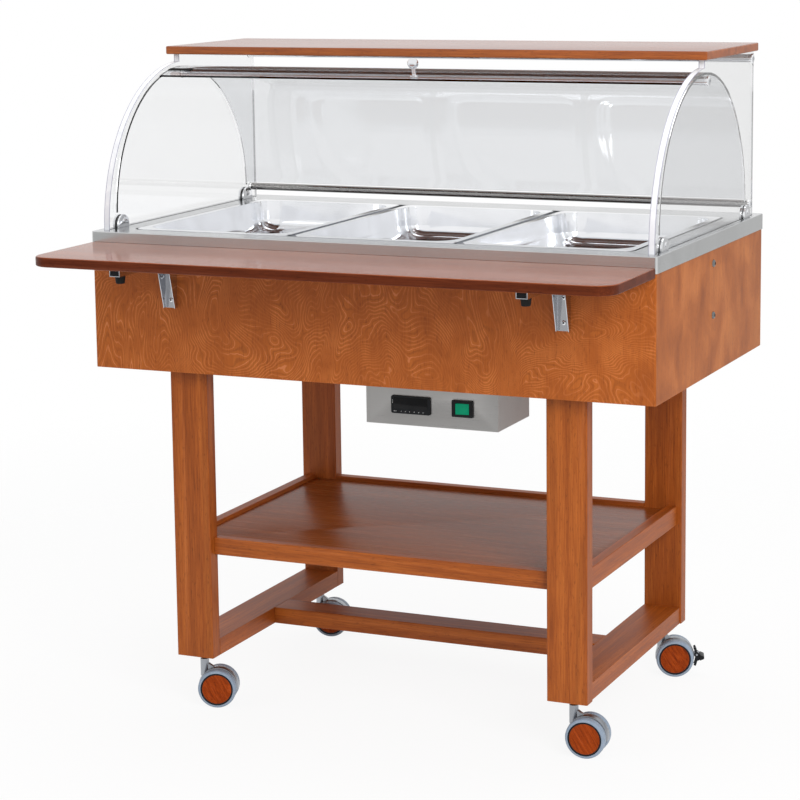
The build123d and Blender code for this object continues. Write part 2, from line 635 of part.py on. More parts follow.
def make_dome_panel():
    """One clear side panel with the lid's groove and holes for the cross tubes."""
    bow = Pos(DOME_ARC_Y, DECK_TOP) * Circle(DOME_ARC_R)
    bow_y = (DOME_FRONT_Y + DOME_STEP_Y) / 2
    bow &= Pos(bow_y, DECK_TOP + DOME_ARC_R / 2) * Rectangle(DOME_STEP_Y - DOME_FRONT_Y, DOME_ARC_R)
    height = DOME_TOP - DECK_TOP
    back_y = (DOME_STEP_Y + DOME_REAR_Y) / 2
    back = Pos(back_y, DECK_TOP + height / 2) * Rectangle(DOME_REAR_Y - DOME_STEP_Y, height)
    panel = along_x(bow + back, (DOME_IN_X, DOME_SIDE_X))
    groove_x = (DOME_IN_X - GROOVE_DEPTH, DOME_IN_X + GROOVE_DEPTH)
    groove = rod_x(LID_R + GROOVE_PLAY, groove_x, LID_AXIS_Y, LID_AXIS_Z)
    groove -= rod_x(LID_R - LID_THICK - GROOVE_PLAY, groove_x, LID_AXIS_Y, LID_AXIS_Z)
    reach = 2 * LID_R
    groove &= block(groove_x, (-reach, reach), (LID_AXIS_Z + GROOVE_FOOT, LID_AXIS_Z + reach))
    panel -= groove
    for y, z, radius in TUBES:
        hole_x = (DOME_IN_X - DOME_SIDE_THICK, DOME_SIDE_X + DOME_SIDE_THICK)
        panel -= rod_x(radius + TUBE_HOLE_PLAY, hole_x, y, z)
    return panel


def make_clamp(y):
    """The two cheeks that hold one foot of a side panel, each with a round button."""
    half = CLAMP_WIDTH / 2
    knee = DECK_TOP + CLAMP_KNEE
    crown = ThreePointArc((y + half, knee), (y, DECK_TOP + CLAMP_HEIGHT), (y - half, knee))
    sides = Polyline((y - half, knee), (y - half, DECK_TOP), (y + half, DECK_TOP), (y + half, knee))
    outline = make_face([crown, sides])
    out_x = DOME_SIDE_X + CLAMP_THICK
    in_x = DOME_IN_X - CLAMP_THICK
    button_z = DECK_TOP + CLAMP_BUTTON_RISE
    outer = along_x(outline, (DOME_SIDE_X, out_x))
    outer += rod_x(CLAMP_BUTTON_R, (DOME_SIDE_X, out_x + CLAMP_BUTTON_H), y, button_z)
    inner = along_x(outline, (in_x, DOME_IN_X))
    inner += rod_x(CLAMP_BUTTON_R, (in_x - CLAMP_BUTTON_H, DOME_IN_X), y, button_z)
    return both_sides(outer) + both_sides(inner)


def make_dome():
    """The clear side panels, top shelf, cross tubes, end caps and panel clamps."""
    panel = make_dome_panel()
    tubes = []
    caps = []
    for y, z, radius in TUBES:
        tube = rod_x(radius, (-DOME_SIDE_X, DOME_SIDE_X), y, z)
        tubes.append(tube - rod_x(radius - TUBE_WALL, (-2 * DOME_SIDE_X, 2 * DOME_SIDE_X), y, z))
        cap = rod_x(radius + CAP_OVERHANG, (DOME_SIDE_X, DOME_SIDE_X + CAP_H), y, z)
        rim = cap.edges().filter_by(GeomType.CIRCLE).group_by(Axis.X)[-1]
        caps += both_sides(fillet(rim, CAP_ROUND_R))
    clamps = make_clamp(DOME_FRONT_Y + CLAMP_INSET) + make_clamp(DOME_REAR_Y - CLAMP_INSET)
    shelf_x2 = DOME_SIDE_X + TOP_SHELF_OVERHANG
    shelf_y = (DOME_STEP_Y - TOP_SHELF_FRONT, DOME_REAR_Y + TOP_SHELF_REAR)
    shelf = block((-shelf_x2, shelf_x2), shelf_y, (DOME_TOP, DOME_TOP + TOP_SHELF_THICK))
    shelf = fillet(shelf.edges(), TOP_SHELF_EDGE_R)
    return {
        "dome_panel_right": panel,
        "dome_panel_left": mirror(panel, about=Plane.YZ),
        "dome_tubes": group(tubes),
        "dome_tube_caps": group(caps),
        "dome_clamps": group(clamps),
        "top_shelf": shelf,
    }


def make_lid():
    """The curved clear lid, rolled back, and its knob."""
    centre = (LID_AXIS_Y, LID_AXIS_Z)
    face = arc_band(centre, (LID_R - LID_THICK, LID_R), LID_START_ANGLE, LID_SWEEP_ANGLE)
    lid = along_x(face, (-LID_X2, LID_X2))

    ball_z = KNOB_HEIGHT - KNOB_R
    knob = rod_z(KNOB_FLANGE_R, 0, 0, (0, KNOB_FLANGE_H))
    knob += rod_z(KNOB_NECK_R, 0, 0, (0, ball_z))
    knob += Pos(0, 0, ball_z) * Sphere(KNOB_R)
    angle = LID_START_ANGLE + LID_SWEEP_ANGLE - KNOB_EDGE_ANGLE
    spot = Pos(0, *polar(centre, LID_R, angle))
    return {"dome_lid": lid, "lid_knob": spot * Rot(angle - 90, 0, 0) * knob}


def make_tray():
    """The fold-down tray, its bracket arms and rubber buffers."""
    tray_y = (TRAY_FRONT, -RIM_Y2 - TRAY_GAP)
    board = block((-TRAY_X2, TRAY_X2), tray_y, (TRAY_UNDER, TRAY_TOP))
    corners = board.edges().filter_by(Axis.Z).group_by(Axis.Y)[0]
    board = fillet(corners, TRAY_CORNER_R)
    level = board.edges().group_by(Axis.Z)
    board = fillet(level[0] + level[-1], TRAY_EDGE_R)

    arm_y = (TRAY_FRONT + ARM_FRONT_INSET, HINGE_Y + ARM_TAIL)
    arm_z = (TRAY_UNDER - ARM_DEPTH, TRAY_UNDER)
    half = ARM_WIDTH / 2
    arm = block((BRACKET_X - half, BRACKET_X + half), arm_y, arm_z)
    slot = half - BRACKET_SHEET
    slot_y = (arm_y[0] - BRACKET_SHEET, arm_y[1] + BRACKET_SHEET)
    slot_z = (arm_z[0] + BRACKET_SHEET, arm_z[1] + BRACKET_SHEET)
    arm -= block((BRACKET_X - slot, BRACKET_X + slot), slot_y, slot_z)
    arm -= rod_x(PIN_R + PIN_PLAY, (BRACKET_X - WALL_WIDTH, BRACKET_X + WALL_WIDTH), HINGE_Y, HINGE_Z)
    buffer_y = TRAY_FRONT + BUFFER_FRONT_INSET
    buffer_z = arm_z[0] - BUFFER_HEIGHT / 2
    buffer = Pos(BRACKET_X, buffer_y, buffer_z) * Cone(BUFFER_FOOT_R, BUFFER_TOP_R, BUFFER_HEIGHT)
    return {
        "front_tray": board,
        "bracket_arms": group(both_sides(arm)),
        "tray_buffers": group(both_sides(buffer)),
    }


def make_brackets():
    """The wall channels on the front panel, their hinge pins and screws."""
    top = HINGE_Z + WALL_NOSE_R
    foot = top - WALL_HEIGHT
    wall_y = -CASE_Y2
    nose_y = HINGE_Y - WALL_NOSE_R
    outline = polygon(
        (wall_y, foot),
        (wall_y, top),
        (HINGE_Y, top),
        (HINGE_Y, HINGE_Z),
        (nose_y, HINGE_Z),
        (nose_y, foot + WALL_TAPER_HEIGHT),
        (wall_y - WALL_TIP_DEPTH, foot),
    )
    outline += Pos(HINGE_Y, HINGE_Z) * Circle(WALL_NOSE_R)
    half = WALL_WIDTH / 2
    slot = half - BRACKET_SHEET
    slot_y = (nose_y - BRACKET_SHEET, wall_y - BRACKET_SHEET)
    slot_z = (foot - BRACKET_SHEET, top + BRACKET_SHEET)
    wall = along_x(outline, (BRACKET_X - half, BRACKET_X + half))
    wall -= block((BRACKET_X - slot, BRACKET_X + slot), slot_y, slot_z)
    wall -= rod_x(PIN_R + PIN_PLAY, (BRACKET_X - WALL_WIDTH, BRACKET_X + WALL_WIDTH), HINGE_Y, HINGE_Z)
    pin_x2 = half + PIN_OVERHANG
    pin = rod_x(PIN_R, (BRACKET_X - pin_x2, BRACKET_X + pin_x2), HINGE_Y, HINGE_Z)
    screws = []
    face = wall_y - BRACKET_SHEET
    for rise in SCREW_RISES:
        head = rod_y(SCREW_R, BRACKET_X, (face - SCREW_H, face), foot + rise)
        rim = head.edges().filter_by(GeomType.CIRCLE).group_by(Axis.Y)[0]
        screws += both_sides(fillet(rim, SCREW_ROUND_R))
    return {
        "bracket_wall_channels": group(both_sides(wall)),
        "bracket_pins": group(both_sides(pin)),
        "bracket_screws": group(screws),
    }


def make_wheel(side):
    """One caster wheel on the given side of the hood, in the caster's own frame."""
    inner_y = HOOD_WIDTH / 2 + HOOD_SIDE_PLAY
    face = WHEEL_WIDTH / 2
    wheel = Cylinder(WHEEL_R, WHEEL_WIDTH)
    wheel = fillet(wheel.edges().filter_by(GeomType.CIRCLE), WHEEL_EDGE_R)
    ring_r = WHEEL_R - WHEEL_RING_GAP
    ring_z = (face - WHEEL_RING_DEPTH, face + WHEEL_RING_DEPTH)
    wheel -= rod_z(ring_r, 0, 0, ring_z) - rod_z(ring_r - WHEEL_RING_WIDTH, 0, 0, ring_z)
    wheel -= rod_z(AXLE_R + AXLE_PLAY, 0, 0, (-face - AXLE_END_GAP, WHEEL_BORE_DEPTH - face))
    turn = Rot(-90, 0, 0) if side > 0 else Rot(90, 0, 0)
    return Pos(TRAIL, side * (inner_y + face), WHEEL_R) * turn * wheel


def make_hood(braked):
    """One caster hood with its swivel boss and axle, in the caster's own frame."""
    hub = (TRAIL, WHEEL_R)
    disc = Pos(*hub) * Circle(HOOD_R)
    disc &= Pos(TRAIL, WHEEL_R - HOOD_DROP + HOOD_R) * Rectangle(4 * HOOD_R, 2 * HOOD_R)
    crest = polar(hub, HOOD_R, 90 + NECK_ANGLE)
    neck = polygon((0, BOSS_FOOT), (0, BOSS_TOP - NECK_DROP), crest, hub)
    half = HOOD_WIDTH / 2
    hood = extrude(Plane.XZ * (disc + neck), half, both=True)
    hood += rod_z(BOSS_R, 0, 0, (BOSS_FOOT, BOSS_TOP))
    hood -= rod_z(STEM_R + STEM_PLAY, 0, 0, (BOSS_TOP - STEM_DEPTH, BOSS_TOP + COLLAR_H))
    axle_y2 = half + HOOD_SIDE_PLAY + WHEEL_BORE_DEPTH - AXLE_END_GAP
    hood += rod_y(AXLE_R, TRAIL, (-axle_y2, axle_y2), WHEEL_R)
    if braked:
        x, z = polar(hub, BRAKE_PIN_REACH, BRAKE_ANGLE)
        lug = Rectangle(BRAKE_LUG_LENGTH, 2 * BRAKE_EYE_R, align=(Align.MAX, Align.CENTER))
        lug = Pos(x, z) * Rot(0, 0, BRAKE_ANGLE) * (lug + Circle(BRAKE_EYE_R))
        hood -= rod_y(BRAKE_EYE_R + BRAKE_EYE_GAP, x, (-HOOD_WIDTH, HOOD_WIDTH), z)
        hood += extrude(Plane.XZ * lug, BRAKE_LUG / 2, both=True)
        pin_y2 = BRAKE_LUG / 2 + BRAKE_PLAY + BRAKE_CHEEK
        hood += rod_y(BRAKE_PIN_R, x, (-pin_y2, pin_y2), z)
    return hood


def make_brake():
    """One foot brake lever, bowed around the hood, in the caster's own frame."""
    hub = (TRAIL, WHEEL_R)
    x, z = polar(hub, BRAKE_PIN_REACH, BRAKE_ANGLE)
    bow_r = (HOOD_R + BRAKE_BOW_GAP, HOOD_R + BRAKE_BOW_GAP + BRAKE_BOW_THICK)
    root_x = TRAIL + (bow_r[0] + bow_r[1]) / 2
    tip_x = TRAIL + HOOD_R + BRAKE_PEDAL_LENGTH
    pad_x = x + BRAKE_EYE_R + BRAKE_EYE_GAP
    pad_z2 = BRAKE_PEDAL_TIP + (BRAKE_PEDAL_ROOT - BRAKE_PEDAL_TIP) * (tip_x - pad_x) / (tip_x - root_x)
    profile = arc_band(hub, bow_r, *BRAKE_BOW_ANGLE)
    profile += Pos(x, z) * Circle(BRAKE_EYE_R)
    profile += polygon(
        (root_x, WHEEL_R + BRAKE_PEDAL_ROOT),
        (tip_x, WHEEL_R + BRAKE_PEDAL_TIP),
        (tip_x, WHEEL_R - BRAKE_PEDAL_TIP),
        (root_x, WHEEL_R - BRAKE_PEDAL_ROOT),
    )
    inner = BRAKE_LUG / 2 + BRAKE_PLAY
    outer = inner + BRAKE_CHEEK
    cheek = Pos(0, outer, 0) * extrude(Plane.XZ * profile, BRAKE_CHEEK)
    cheek -= rod_y(BRAKE_PIN_R + PIN_PLAY, x, (-outer, 2 * outer), z)
    pad = polygon(
        (pad_x, WHEEL_R + pad_z2),
        (tip_x, WHEEL_R + BRAKE_PEDAL_TIP),
        (tip_x, WHEEL_R - BRAKE_PEDAL_TIP),
        (pad_x, WHEEL_R - pad_z2),
    )
    lever = cheek + mirror(cheek, about=Plane.XZ)
    return lever + extrude(Plane.XZ * pad, BRAKE_PEDAL_WIDTH / 2, both=True)


def make_casters():
    """Four swivelling casters with eight wheels and two foot brakes."""
    nodes = {}
    stems = []
    stem_z = (BOSS_TOP - STEM_DEPTH + STEM_END_GAP, CASTER_HEIGHT + STEM_REACH)
    stem = rod_z(STEM_R, 0, 0, stem_z)
    stem += rod_z(COLLAR_R, 0, 0, (CASTER_HEIGHT - COLLAR_H, CASTER_HEIGHT))
    for name, (side, end) in CORNERS.items():
        place = Pos(side * LEG_X, end * STEM_Y, 0)
        spot = place * Rot(0, 0, CASTER_TURN_ANGLE[name])
        stems.append(place * stem)
        nodes["caster_hood_" + name] = spot * make_hood(name in BRAKED)
        nodes["wheel_" + name + "_near"] = spot * make_wheel(-1)
        nodes["wheel_" + name + "_far"] = spot * make_wheel(1)
        if name in BRAKED:
            nodes["brake_lever_" + name] = spot * make_brake()
    nodes["caster_stems"] = group(stems)
    return nodes


def main():
    """Build every node and write it out with the origin under the middle of the whole."""
    makers = (
        make_legs,
        make_base,
        make_shelf,
        make_casing,
        make_deck,
        make_pans,
        make_drain,
        make_controls,
        make_dome,
        make_lid,
        make_tray,
        make_brackets,
        make_casters,
    )
    os.makedirs("parts", exist_ok=True)
    for maker in makers:
        for name, shape in maker().items():
            export_step(Pos(0, CASE_Y, 0) * shape, "parts/" + name + ".step")


main()
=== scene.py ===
"""Dresses the bain-marie trolley: finishes, softened edges, small fittings and a plain studio."""

from __future__ import annotations

import json
import logging
import math
from dataclasses import dataclass, field, replace
from enum import Enum
from typing import Any, Sequence

import bmesh
import bpy
from mathutils import Matrix, Vector

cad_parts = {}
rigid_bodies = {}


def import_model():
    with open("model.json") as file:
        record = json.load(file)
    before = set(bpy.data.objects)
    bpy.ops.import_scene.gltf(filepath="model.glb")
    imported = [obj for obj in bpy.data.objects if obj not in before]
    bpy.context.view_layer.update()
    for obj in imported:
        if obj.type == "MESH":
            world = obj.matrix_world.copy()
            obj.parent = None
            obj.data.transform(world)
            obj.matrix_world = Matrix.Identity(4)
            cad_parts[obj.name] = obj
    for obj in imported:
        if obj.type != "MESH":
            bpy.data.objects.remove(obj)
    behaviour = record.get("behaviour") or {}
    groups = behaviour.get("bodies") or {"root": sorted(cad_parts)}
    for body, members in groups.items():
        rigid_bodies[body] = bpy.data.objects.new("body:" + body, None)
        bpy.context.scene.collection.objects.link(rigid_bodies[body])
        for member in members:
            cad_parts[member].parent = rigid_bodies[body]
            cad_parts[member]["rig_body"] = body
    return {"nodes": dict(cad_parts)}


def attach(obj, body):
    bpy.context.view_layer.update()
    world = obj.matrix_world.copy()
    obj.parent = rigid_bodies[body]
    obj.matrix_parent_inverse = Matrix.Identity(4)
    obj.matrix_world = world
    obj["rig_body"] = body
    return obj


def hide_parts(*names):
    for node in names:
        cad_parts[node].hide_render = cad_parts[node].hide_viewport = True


Colour = tuple[float, float, float]
Pair = tuple[float, float]
Point = tuple[float, float, float]
LOG = logging.getLogger("trolley")
WHITE = (1.0, 1.0, 1.0, 1.0)
STILL = (0.0, 0.0, 0.0)
HALF = 0.5
SIDES = (-1, 1)

# The numbers of the Mix node's colour sockets
MIX_ENDS = (6, 7)
MIX_RESULT = 2

# Turns, in radians
QUARTER = math.pi / 2
DISC_SLANT = 0.55

# Angles between faces in degrees, and a distance in metres
SMOOTH_LIMIT = 25.0
ROUND_LIMIT = 35.0
FLAT_LIMIT = 0.5
MERGE = 1e-6


# Shader building
class Wire:
    """A shader socket that can be used in Python sums."""

    def __init__(self, graph: Graph, socket: bpy.types.NodeSocket) -> None:
        """Keeps an output socket and the graph that new Math nodes go into."""
        self.graph = graph
        self.socket = socket

    def sum(self, operation: str, first: Any, second: Any = 0.0) -> Wire:
        """The result of one Math node with two values or wires."""
        return self.graph.value("ShaderNodeMath", {"operation": operation}, {0: first, 1: second})

    def __add__(self, other: Any) -> Wire:
        """This plus other."""
        return self.sum("ADD", self, other)

    def __radd__(self, other: Any) -> Wire:
        """Other plus this."""
        return self.sum("ADD", other, self)

    def __sub__(self, other: Any) -> Wire:
        """This minus other."""
        return self.sum("SUBTRACT", self, other)

    def __rsub__(self, other: Any) -> Wire:
        """Other minus this."""
        return self.sum("SUBTRACT", other, self)

    def __mul__(self, other: Any) -> Wire:
        """This times other."""
        return self.sum("MULTIPLY", self, other)

    def __rmul__(self, other: Any) -> Wire:
        """Other times this."""
        return self.sum("MULTIPLY", other, self)

    def __neg__(self) -> Wire:
        """This with its sign turned."""
        return self.sum("MULTIPLY", self, -1.0)

    def sine(self) -> Wire:
        """The sine of this, in radians."""
        return self.sum("SINE", self)

    def most(self, other: Any) -> Wire:
        """The larger of this and other."""
        return self.sum("MAXIMUM", self, other)

    def swing(self, reach: float) -> Wire:
        """A noise of 0 to 1 made to swing about 0, times reach."""
        return (self - HALF) * reach

    def above(self, low: float, high: float) -> Wire:
        """A smooth step from 0 at low to 1 at high."""
        settings = {"interpolation_type": "SMOOTHSTEP"}
        return self.graph.value("ShaderNodeMapRange", settings, {0: self, 1: low, 2: high})


class Graph:
    """The node tree of one material or world."""

    def __init__(self, owner: bpy.types.Material | bpy.types.World) -> None:
        """Empties the owner's node tree.

        Args:
            owner: The material or world that the tree belongs to.
        """
        owner.use_nodes = True
        self.tree = owner.node_tree
        self.tree.nodes.clear()

    def node(
        self, kind: str, settings: dict[str, Any] | None = None, inputs: dict[Any, Any] | None = None
    ) -> bpy.types.Node:
        """Adds one node.

        Args:
            kind: The node's type.
            settings: Its settings, set first.
            inputs: The values or wires of its sockets, by name or number.

        Returns:
            The new node.
        """
        node = self.tree.nodes.new(kind)
        for key, value in (settings or {}).items():
            setattr(node, key, value)
        for key, value in (inputs or {}).items():
            if isinstance(value, Wire):
                self.tree.links.new(value.socket, node.inputs[key])
            else:
                node.inputs[key].default_value = value
        return node

    def value(
        self,
        kind: str,
        settings: dict[str, Any] | None = None,
        inputs: dict[Any, Any] | None = None,
        output: int | str = 0,
    ) -> Wire:
        """Adds one node as above and takes one of its outputs, by name or number."""
        return Wire(self, self.node(kind, settings, inputs).outputs[output])

    def place(self, scale: Sequence[float], turn: Point = STILL, shift: Point = STILL) -> Wire:
        """Object coordinates, shifted, turned and scaled.

        Args:
            scale: The scale on each axis, after the turn.
            turn: The turn about each axis, in radians.
            shift: The shift, before the turn.

        Returns:
            The coordinates.
        """
        spot = self.value("ShaderNodeTexCoord", output="Object")
        for inputs in ({"Location": shift}, {"Rotation": turn}, {"Scale": scale}):
            spot = self.value("ShaderNodeMapping", None, {"Vector": spot, **inputs})
        return spot

    def ramp(self, factor: Wire, stops: Sequence[tuple[float, Colour]]) -> Wire:
        """A colour read from a ramp.

        Args:
            factor: Where on the ramp to read.
            stops: Position and colour of each stop.

        Returns:
            The colour.
        """
        node = self.node("ShaderNodeValToRGB", None, {0: factor})
        elements = node.color_ramp.elements
        while len(elements) < len(stops):
            elements.new(1.0)
        for element, (position, colour) in zip(elements, stops):
            element.position = position
            element.color = (*colour, 1.0)
        return Wire(self, node.outputs[0])

    def mix(self, factor: Wire, first: Wire | Colour, second: Wire | Colour) -> Wire:
        """A mix of two colours.

        Args:
            factor: How much of the second.
            first: The first colour or wire.
            second: The second colour or wire.

        Returns:
            The mixed colour.
        """
        ends = [end if isinstance(end, Wire) else (*end, 1.0) for end in (first, second)]
        inputs = {0: factor, **dict(zip(MIX_ENDS, ends))}
        return self.value("ShaderNodeMix", {"data_type": "RGBA"}, inputs, MIX_RESULT)

    def bump(self, height: Wire, distance: float, strength: float) -> Wire:
        """A normal from a height of about 0 to 1, where 1 is distance deep in metres."""
        inputs = {"Height": height, "Distance": distance, "Strength": strength}
        return self.value("ShaderNodeBump", None, inputs)

    def seen(self) -> Wire:
        """Tells what is looked at from light that falls on the object.

        Returns:
            1 for a ray from the camera, a mirror or glass, and 0 for others.
        """
        path = self.node("ShaderNodeLightPath")
        direct, mirrored, through = (
            Wire(self, path.outputs[name])
            for name in ("Is Camera Ray", "Is Glossy Ray", "Is Transmission Ray")
        )
        return direct.most(mirrored).most(through)

    def surface(self, inputs: dict[str, Any]) -> None:
        """Ends the graph in one Principled surface with these values or wires."""
        shader = self.value("ShaderNodeBsdfPrincipled", None, inputs)
        self.node("ShaderNodeOutputMaterial", None, {"Surface": shader})


# Finishes
class Grain(Enum):
    """Which way a board's grain or a sheet's brushing runs, as the turn that lays it along X."""

    ALONG_X = STILL
    ALONG_Y = (0.0, 0.0, -QUARTER)
    ALONG_Z = (0.0, QUARTER, 0.0)
    SLANTED = (0.0, QUARTER + DISC_SLANT, 0.0)


@dataclass(frozen=True)
class Layer:
    """A noise: features per metre on each axis, finer layers, their strength and its own bend."""

    scale: Point
    detail: float = 2.0
    rough: float = 0.6
    warp: float = 0.0

    def read(
        self, graph: Graph, turn: Point = STILL, shift: Point = STILL, fine: float = 1.0
    ) -> Wire:
        """Adds the noise to a graph.

        Args:
            graph: The graph that it goes into.
            turn: The turn that lays it along the grain.
            shift: The shift, before the turn.
            fine: How much finer it is drawn.

        Returns:
            The noise, about 0 to 1.
        """
        inputs = {
            "Vector": graph.place([size * fine for size in self.scale], turn, shift),
            "Scale": 1.0,
            "Detail": self.detail,
            "Roughness": self.rough,
            "Distortion": self.warp,
        }
        return graph.value("ShaderNodeTexNoise", None, inputs)


# How wood is drawn: noises, the steps that sharpen them, and weights
RINGS = Layer(STILL, 3.0, 0.36)
PATCHES = Layer(STILL, 3.0, 0.5, 0.4)
SHIVER = Layer((30.0, 55.0, 55.0), rough=0.5)
FIBRES = Layer((14.0, 420.0, 420.0))
PORES = Layer((80.0, 380.0, 380.0))
CLEAR_STEP = (0.34, 0.66)
CLEAR_GAIN = 0.80
CLEAR_BASE = 0.20
PALE_STEP = (0.82, 1.0)
DARK_STEP = (0.50, 1.0)
PORE_STEP = (0.56, 0.74)
STAIN_STOPS = (0.15, 0.5, 0.85)
LIGHT_GAIN = 1.15
LIGHT_BASE = 0.06
SHADE = 0.45
PORE_SHADE = 0.42
FIBRE_RISE = 0.6
PORE_SINK = 0.7
LINE_SINK = 0.2
FIBRE_ROUGH = 0.12
GRAIN_DEPTH = 0.0001
GRAIN_BUMP = 0.5

# How steel is drawn
BRUSHING = Layer((5.0, 700.0, 700.0))
SMEARS = Layer((7.0, 9.0, 8.0), 3.0, 0.55, 0.5)
SMEAR_STEP = (0.30, 0.70)
SMEAR_SHARE = 0.45
DULL = 0.80
BRUSH_DEPTH = 0.00002
BRUSH_BUMP = 3.0

# How plastic, acrylic and the floor are drawn
SPECKS = Layer((900.0, 900.0, 900.0))
WEAR = Layer((40.0, 40.0, 40.0), 3.0, 0.55)
WEAR_STEP = (0.35, 0.75)
WEAR_SHARE = 0.6
WORN_GAIN = 1.25
WORN_BASE = 0.006
WEAR_ROUGH = 0.16
SPECK_ROUGH = 0.06
SPECK_BUMP = 0.6
WIPING = Layer((6.0, 6.0, 30.0), 4.0, 0.6, 0.8)
WIPE_STEP = (0.45, 0.9)
WIPE_ROUGH = 0.05
ACRYLIC_IOR = 1.49
FLOOR_SPECKS = Layer((40.0, 40.0, 40.0), rough=0.5)


@dataclass(frozen=True)
class Pattern:
    """How a figure in wood is drawn: features per metre, and strengths from 0 to 1."""

    rings: Point
    warp: float
    lines: float
    pale: float
    dark: float
    patches: Point
    patch: float
    fibre: float
    shiver: float = 0.0


class Figure(Enum):
    """The figure in a board."""

    SWIRL = Pattern(
        rings=(3.4, 4.6, 4.6), warp=0.7, lines=84.0, pale=0.64, dark=0.32,
        patches=(16.0, 24.0, 24.0), patch=0.42, fibre=0.55, shiver=4.2,
    )
    STRAIGHT = Pattern(
        rings=(0.5, 14.0, 14.0), warp=0.2, lines=5.0, pale=0.10, dark=0.22,
        patches=(1.2, 45.0, 45.0), patch=0.60, fibre=1.15,
    )
    EVEN = Pattern(
        rings=(0.8, 5.0, 5.0), warp=0.4, lines=6.0, pale=0.05, dark=0.10,
        patches=(10.0, 13.0, 13.0), patch=0.65, fibre=0.50,
    )
    FLAT = Pattern(
        rings=(0.9, 6.5, 6.5), warp=0.5, lines=9.0, pale=0.12, dark=0.16,
        patches=(3.0, 34.0, 34.0), patch=0.42, fibre=0.70,
    )


@dataclass(frozen=True)
class Finish:
    """A finish that is made into a material the first time it is used."""

    name: str

    def material(self) -> bpy.types.Material:
        """Makes the finish's material once.

        Returns:
            The material.
        """
        name = self.name + "_finish"
        known = bpy.data.materials.get(name)
        if known:
            return known
        material = bpy.data.materials.new(name)
        self.make(Graph(material))
        return material

    def make(self, graph: Graph) -> None:
        """Fills the material's empty graph."""
        raise NotImplementedError


@dataclass(frozen=True)
class Wood(Finish):
    """Stained wood under a satin lacquer."""

    dark: Colour
    middle: Colour
    pale: Colour
    grain: Grain = Grain.ALONG_X
    figure: Figure = Figure.FLAT
    rough: float = 0.45
    gloss: float = 0.25
    fine: float = 1.0
    shift: Point = STILL

    def make(self, graph: Graph) -> None:
        """Draws growth lines, patches, fibres and pores along the grain.

        Args:
            graph: The empty graph to fill.
        """
        figure = self.figure.value
        ring_layer = replace(RINGS, scale=figure.rings, warp=figure.warp)
        patch_layer = replace(PATCHES, scale=figure.patches)
        rings, patches, shiver, fibres, specks = (
            layer.read(graph, self.grain.value, self.shift, self.fine)
            for layer in (ring_layer, patch_layer, SHIVER, FIBRES, PORES)
        )
        wave = (rings * (2 * math.pi * figure.lines) + shiver * figure.shiver).sine()
        clear_parts = patches.above(*CLEAR_STEP) * CLEAR_GAIN + CLEAR_BASE
        pale_lines = wave.above(*PALE_STEP) * clear_parts
        dark_lines = (-wave).above(*DARK_STEP) * clear_parts
        pores = specks.above(*PORE_STEP)
        tone = patches.swing(2 * figure.patch) + fibres.swing(figure.fibre) + HALF
        stain = graph.ramp(tone, list(zip(STAIN_STOPS, (self.dark, self.middle, self.pale))))
        light = tuple(min(1.0, part * LIGHT_GAIN + LIGHT_BASE) for part in self.pale)
        shade = tuple(part * SHADE for part in self.dark)
        lined = graph.mix(pale_lines * figure.pale, stain, light)
        colour = graph.mix(dark_lines * figure.dark + pores * PORE_SHADE, lined, shade)
        height = fibres * FIBRE_RISE - pores * PORE_SINK - dark_lines * LINE_SINK
        graph.surface({
            "Base Color": colour,
            "Roughness": fibres.swing(FIBRE_ROUGH) + self.rough,
            "Specular IOR Level": self.gloss,
            "Normal": graph.bump(height, GRAIN_DEPTH, GRAIN_BUMP),
        })


@dataclass(frozen=True)
class Steel(Finish):
    """Brushed, bright or plated metal."""

    colour: Colour
    rough: float
    brush: Grain = Grain.ALONG_X
    streak: float = 0.10
    smear: float = 0.10

    def make(self, graph: Graph) -> None:
        """Draws brush lines and faint smears.

        Args:
            graph: The empty graph to fill.
        """
        lines = BRUSHING.read(graph, self.brush.value)
        smears = SMEARS.read(graph)
        dull = tuple(part * DULL for part in self.colour)
        dulled = smears.above(*SMEAR_STEP) * SMEAR_SHARE + lines * self.streak
        graph.surface({
            "Base Color": graph.mix(dulled, self.colour, dull),
            "Metallic": 1.0,
            "Roughness": lines.swing(self.streak) + smears.swing(self.smear) + self.rough,
            "Normal": graph.bump(lines, BRUSH_DEPTH, self.streak * BRUSH_BUMP),
        })


@dataclass(frozen=True)
class Moulded(Finish):
    """Moulded plastic or rubber with a faint surface grain."""

    colour: Colour
    rough: float
    grain: float = 0.00004
    gloss: float = 0.5
    painted_glow: float = 0.0

    def make(self, graph: Graph) -> None:
        """Draws the surface grain and slight wear, and a painted glow where one is set.

        Args:
            graph: The empty graph to fill.
        """
        specks = SPECKS.read(graph)
        wear = WEAR.read(graph)
        worn = tuple(min(1.0, part * WORN_GAIN + WORN_BASE) for part in self.colour)
        colour = graph.mix(wear.above(*WEAR_STEP) * WEAR_SHARE, self.colour, worn)
        inputs = {
            "Base Color": colour,
            "Roughness": wear.swing(WEAR_ROUGH) + specks.swing(SPECK_ROUGH) + self.rough,
            "Normal": graph.bump(specks, self.grain, SPECK_BUMP),
            "Specular IOR Level": self.gloss,
        }
        # A painted glow: emission that brightens the colour
        if self.painted_glow:
            inputs["Emission Color"] = colour
            inputs["Emission Strength"] = self.painted_glow
        graph.surface(inputs)


@dataclass(frozen=True)
class Clear(Finish):
    """Clear acrylic sheet."""

    tint: Colour

    def make(self, graph: Graph) -> None:
        """Makes a clear body with faint wiping marks.

        Args:
            graph: The empty graph to fill.
        """
        graph.surface({
            "Base Color": (*self.tint, 1.0),
            "Roughness": WIPING.read(graph).above(*WIPE_STEP) * WIPE_ROUGH,
            "Transmission Weight": 1.0,
            "IOR": ACRYLIC_IOR,
        })


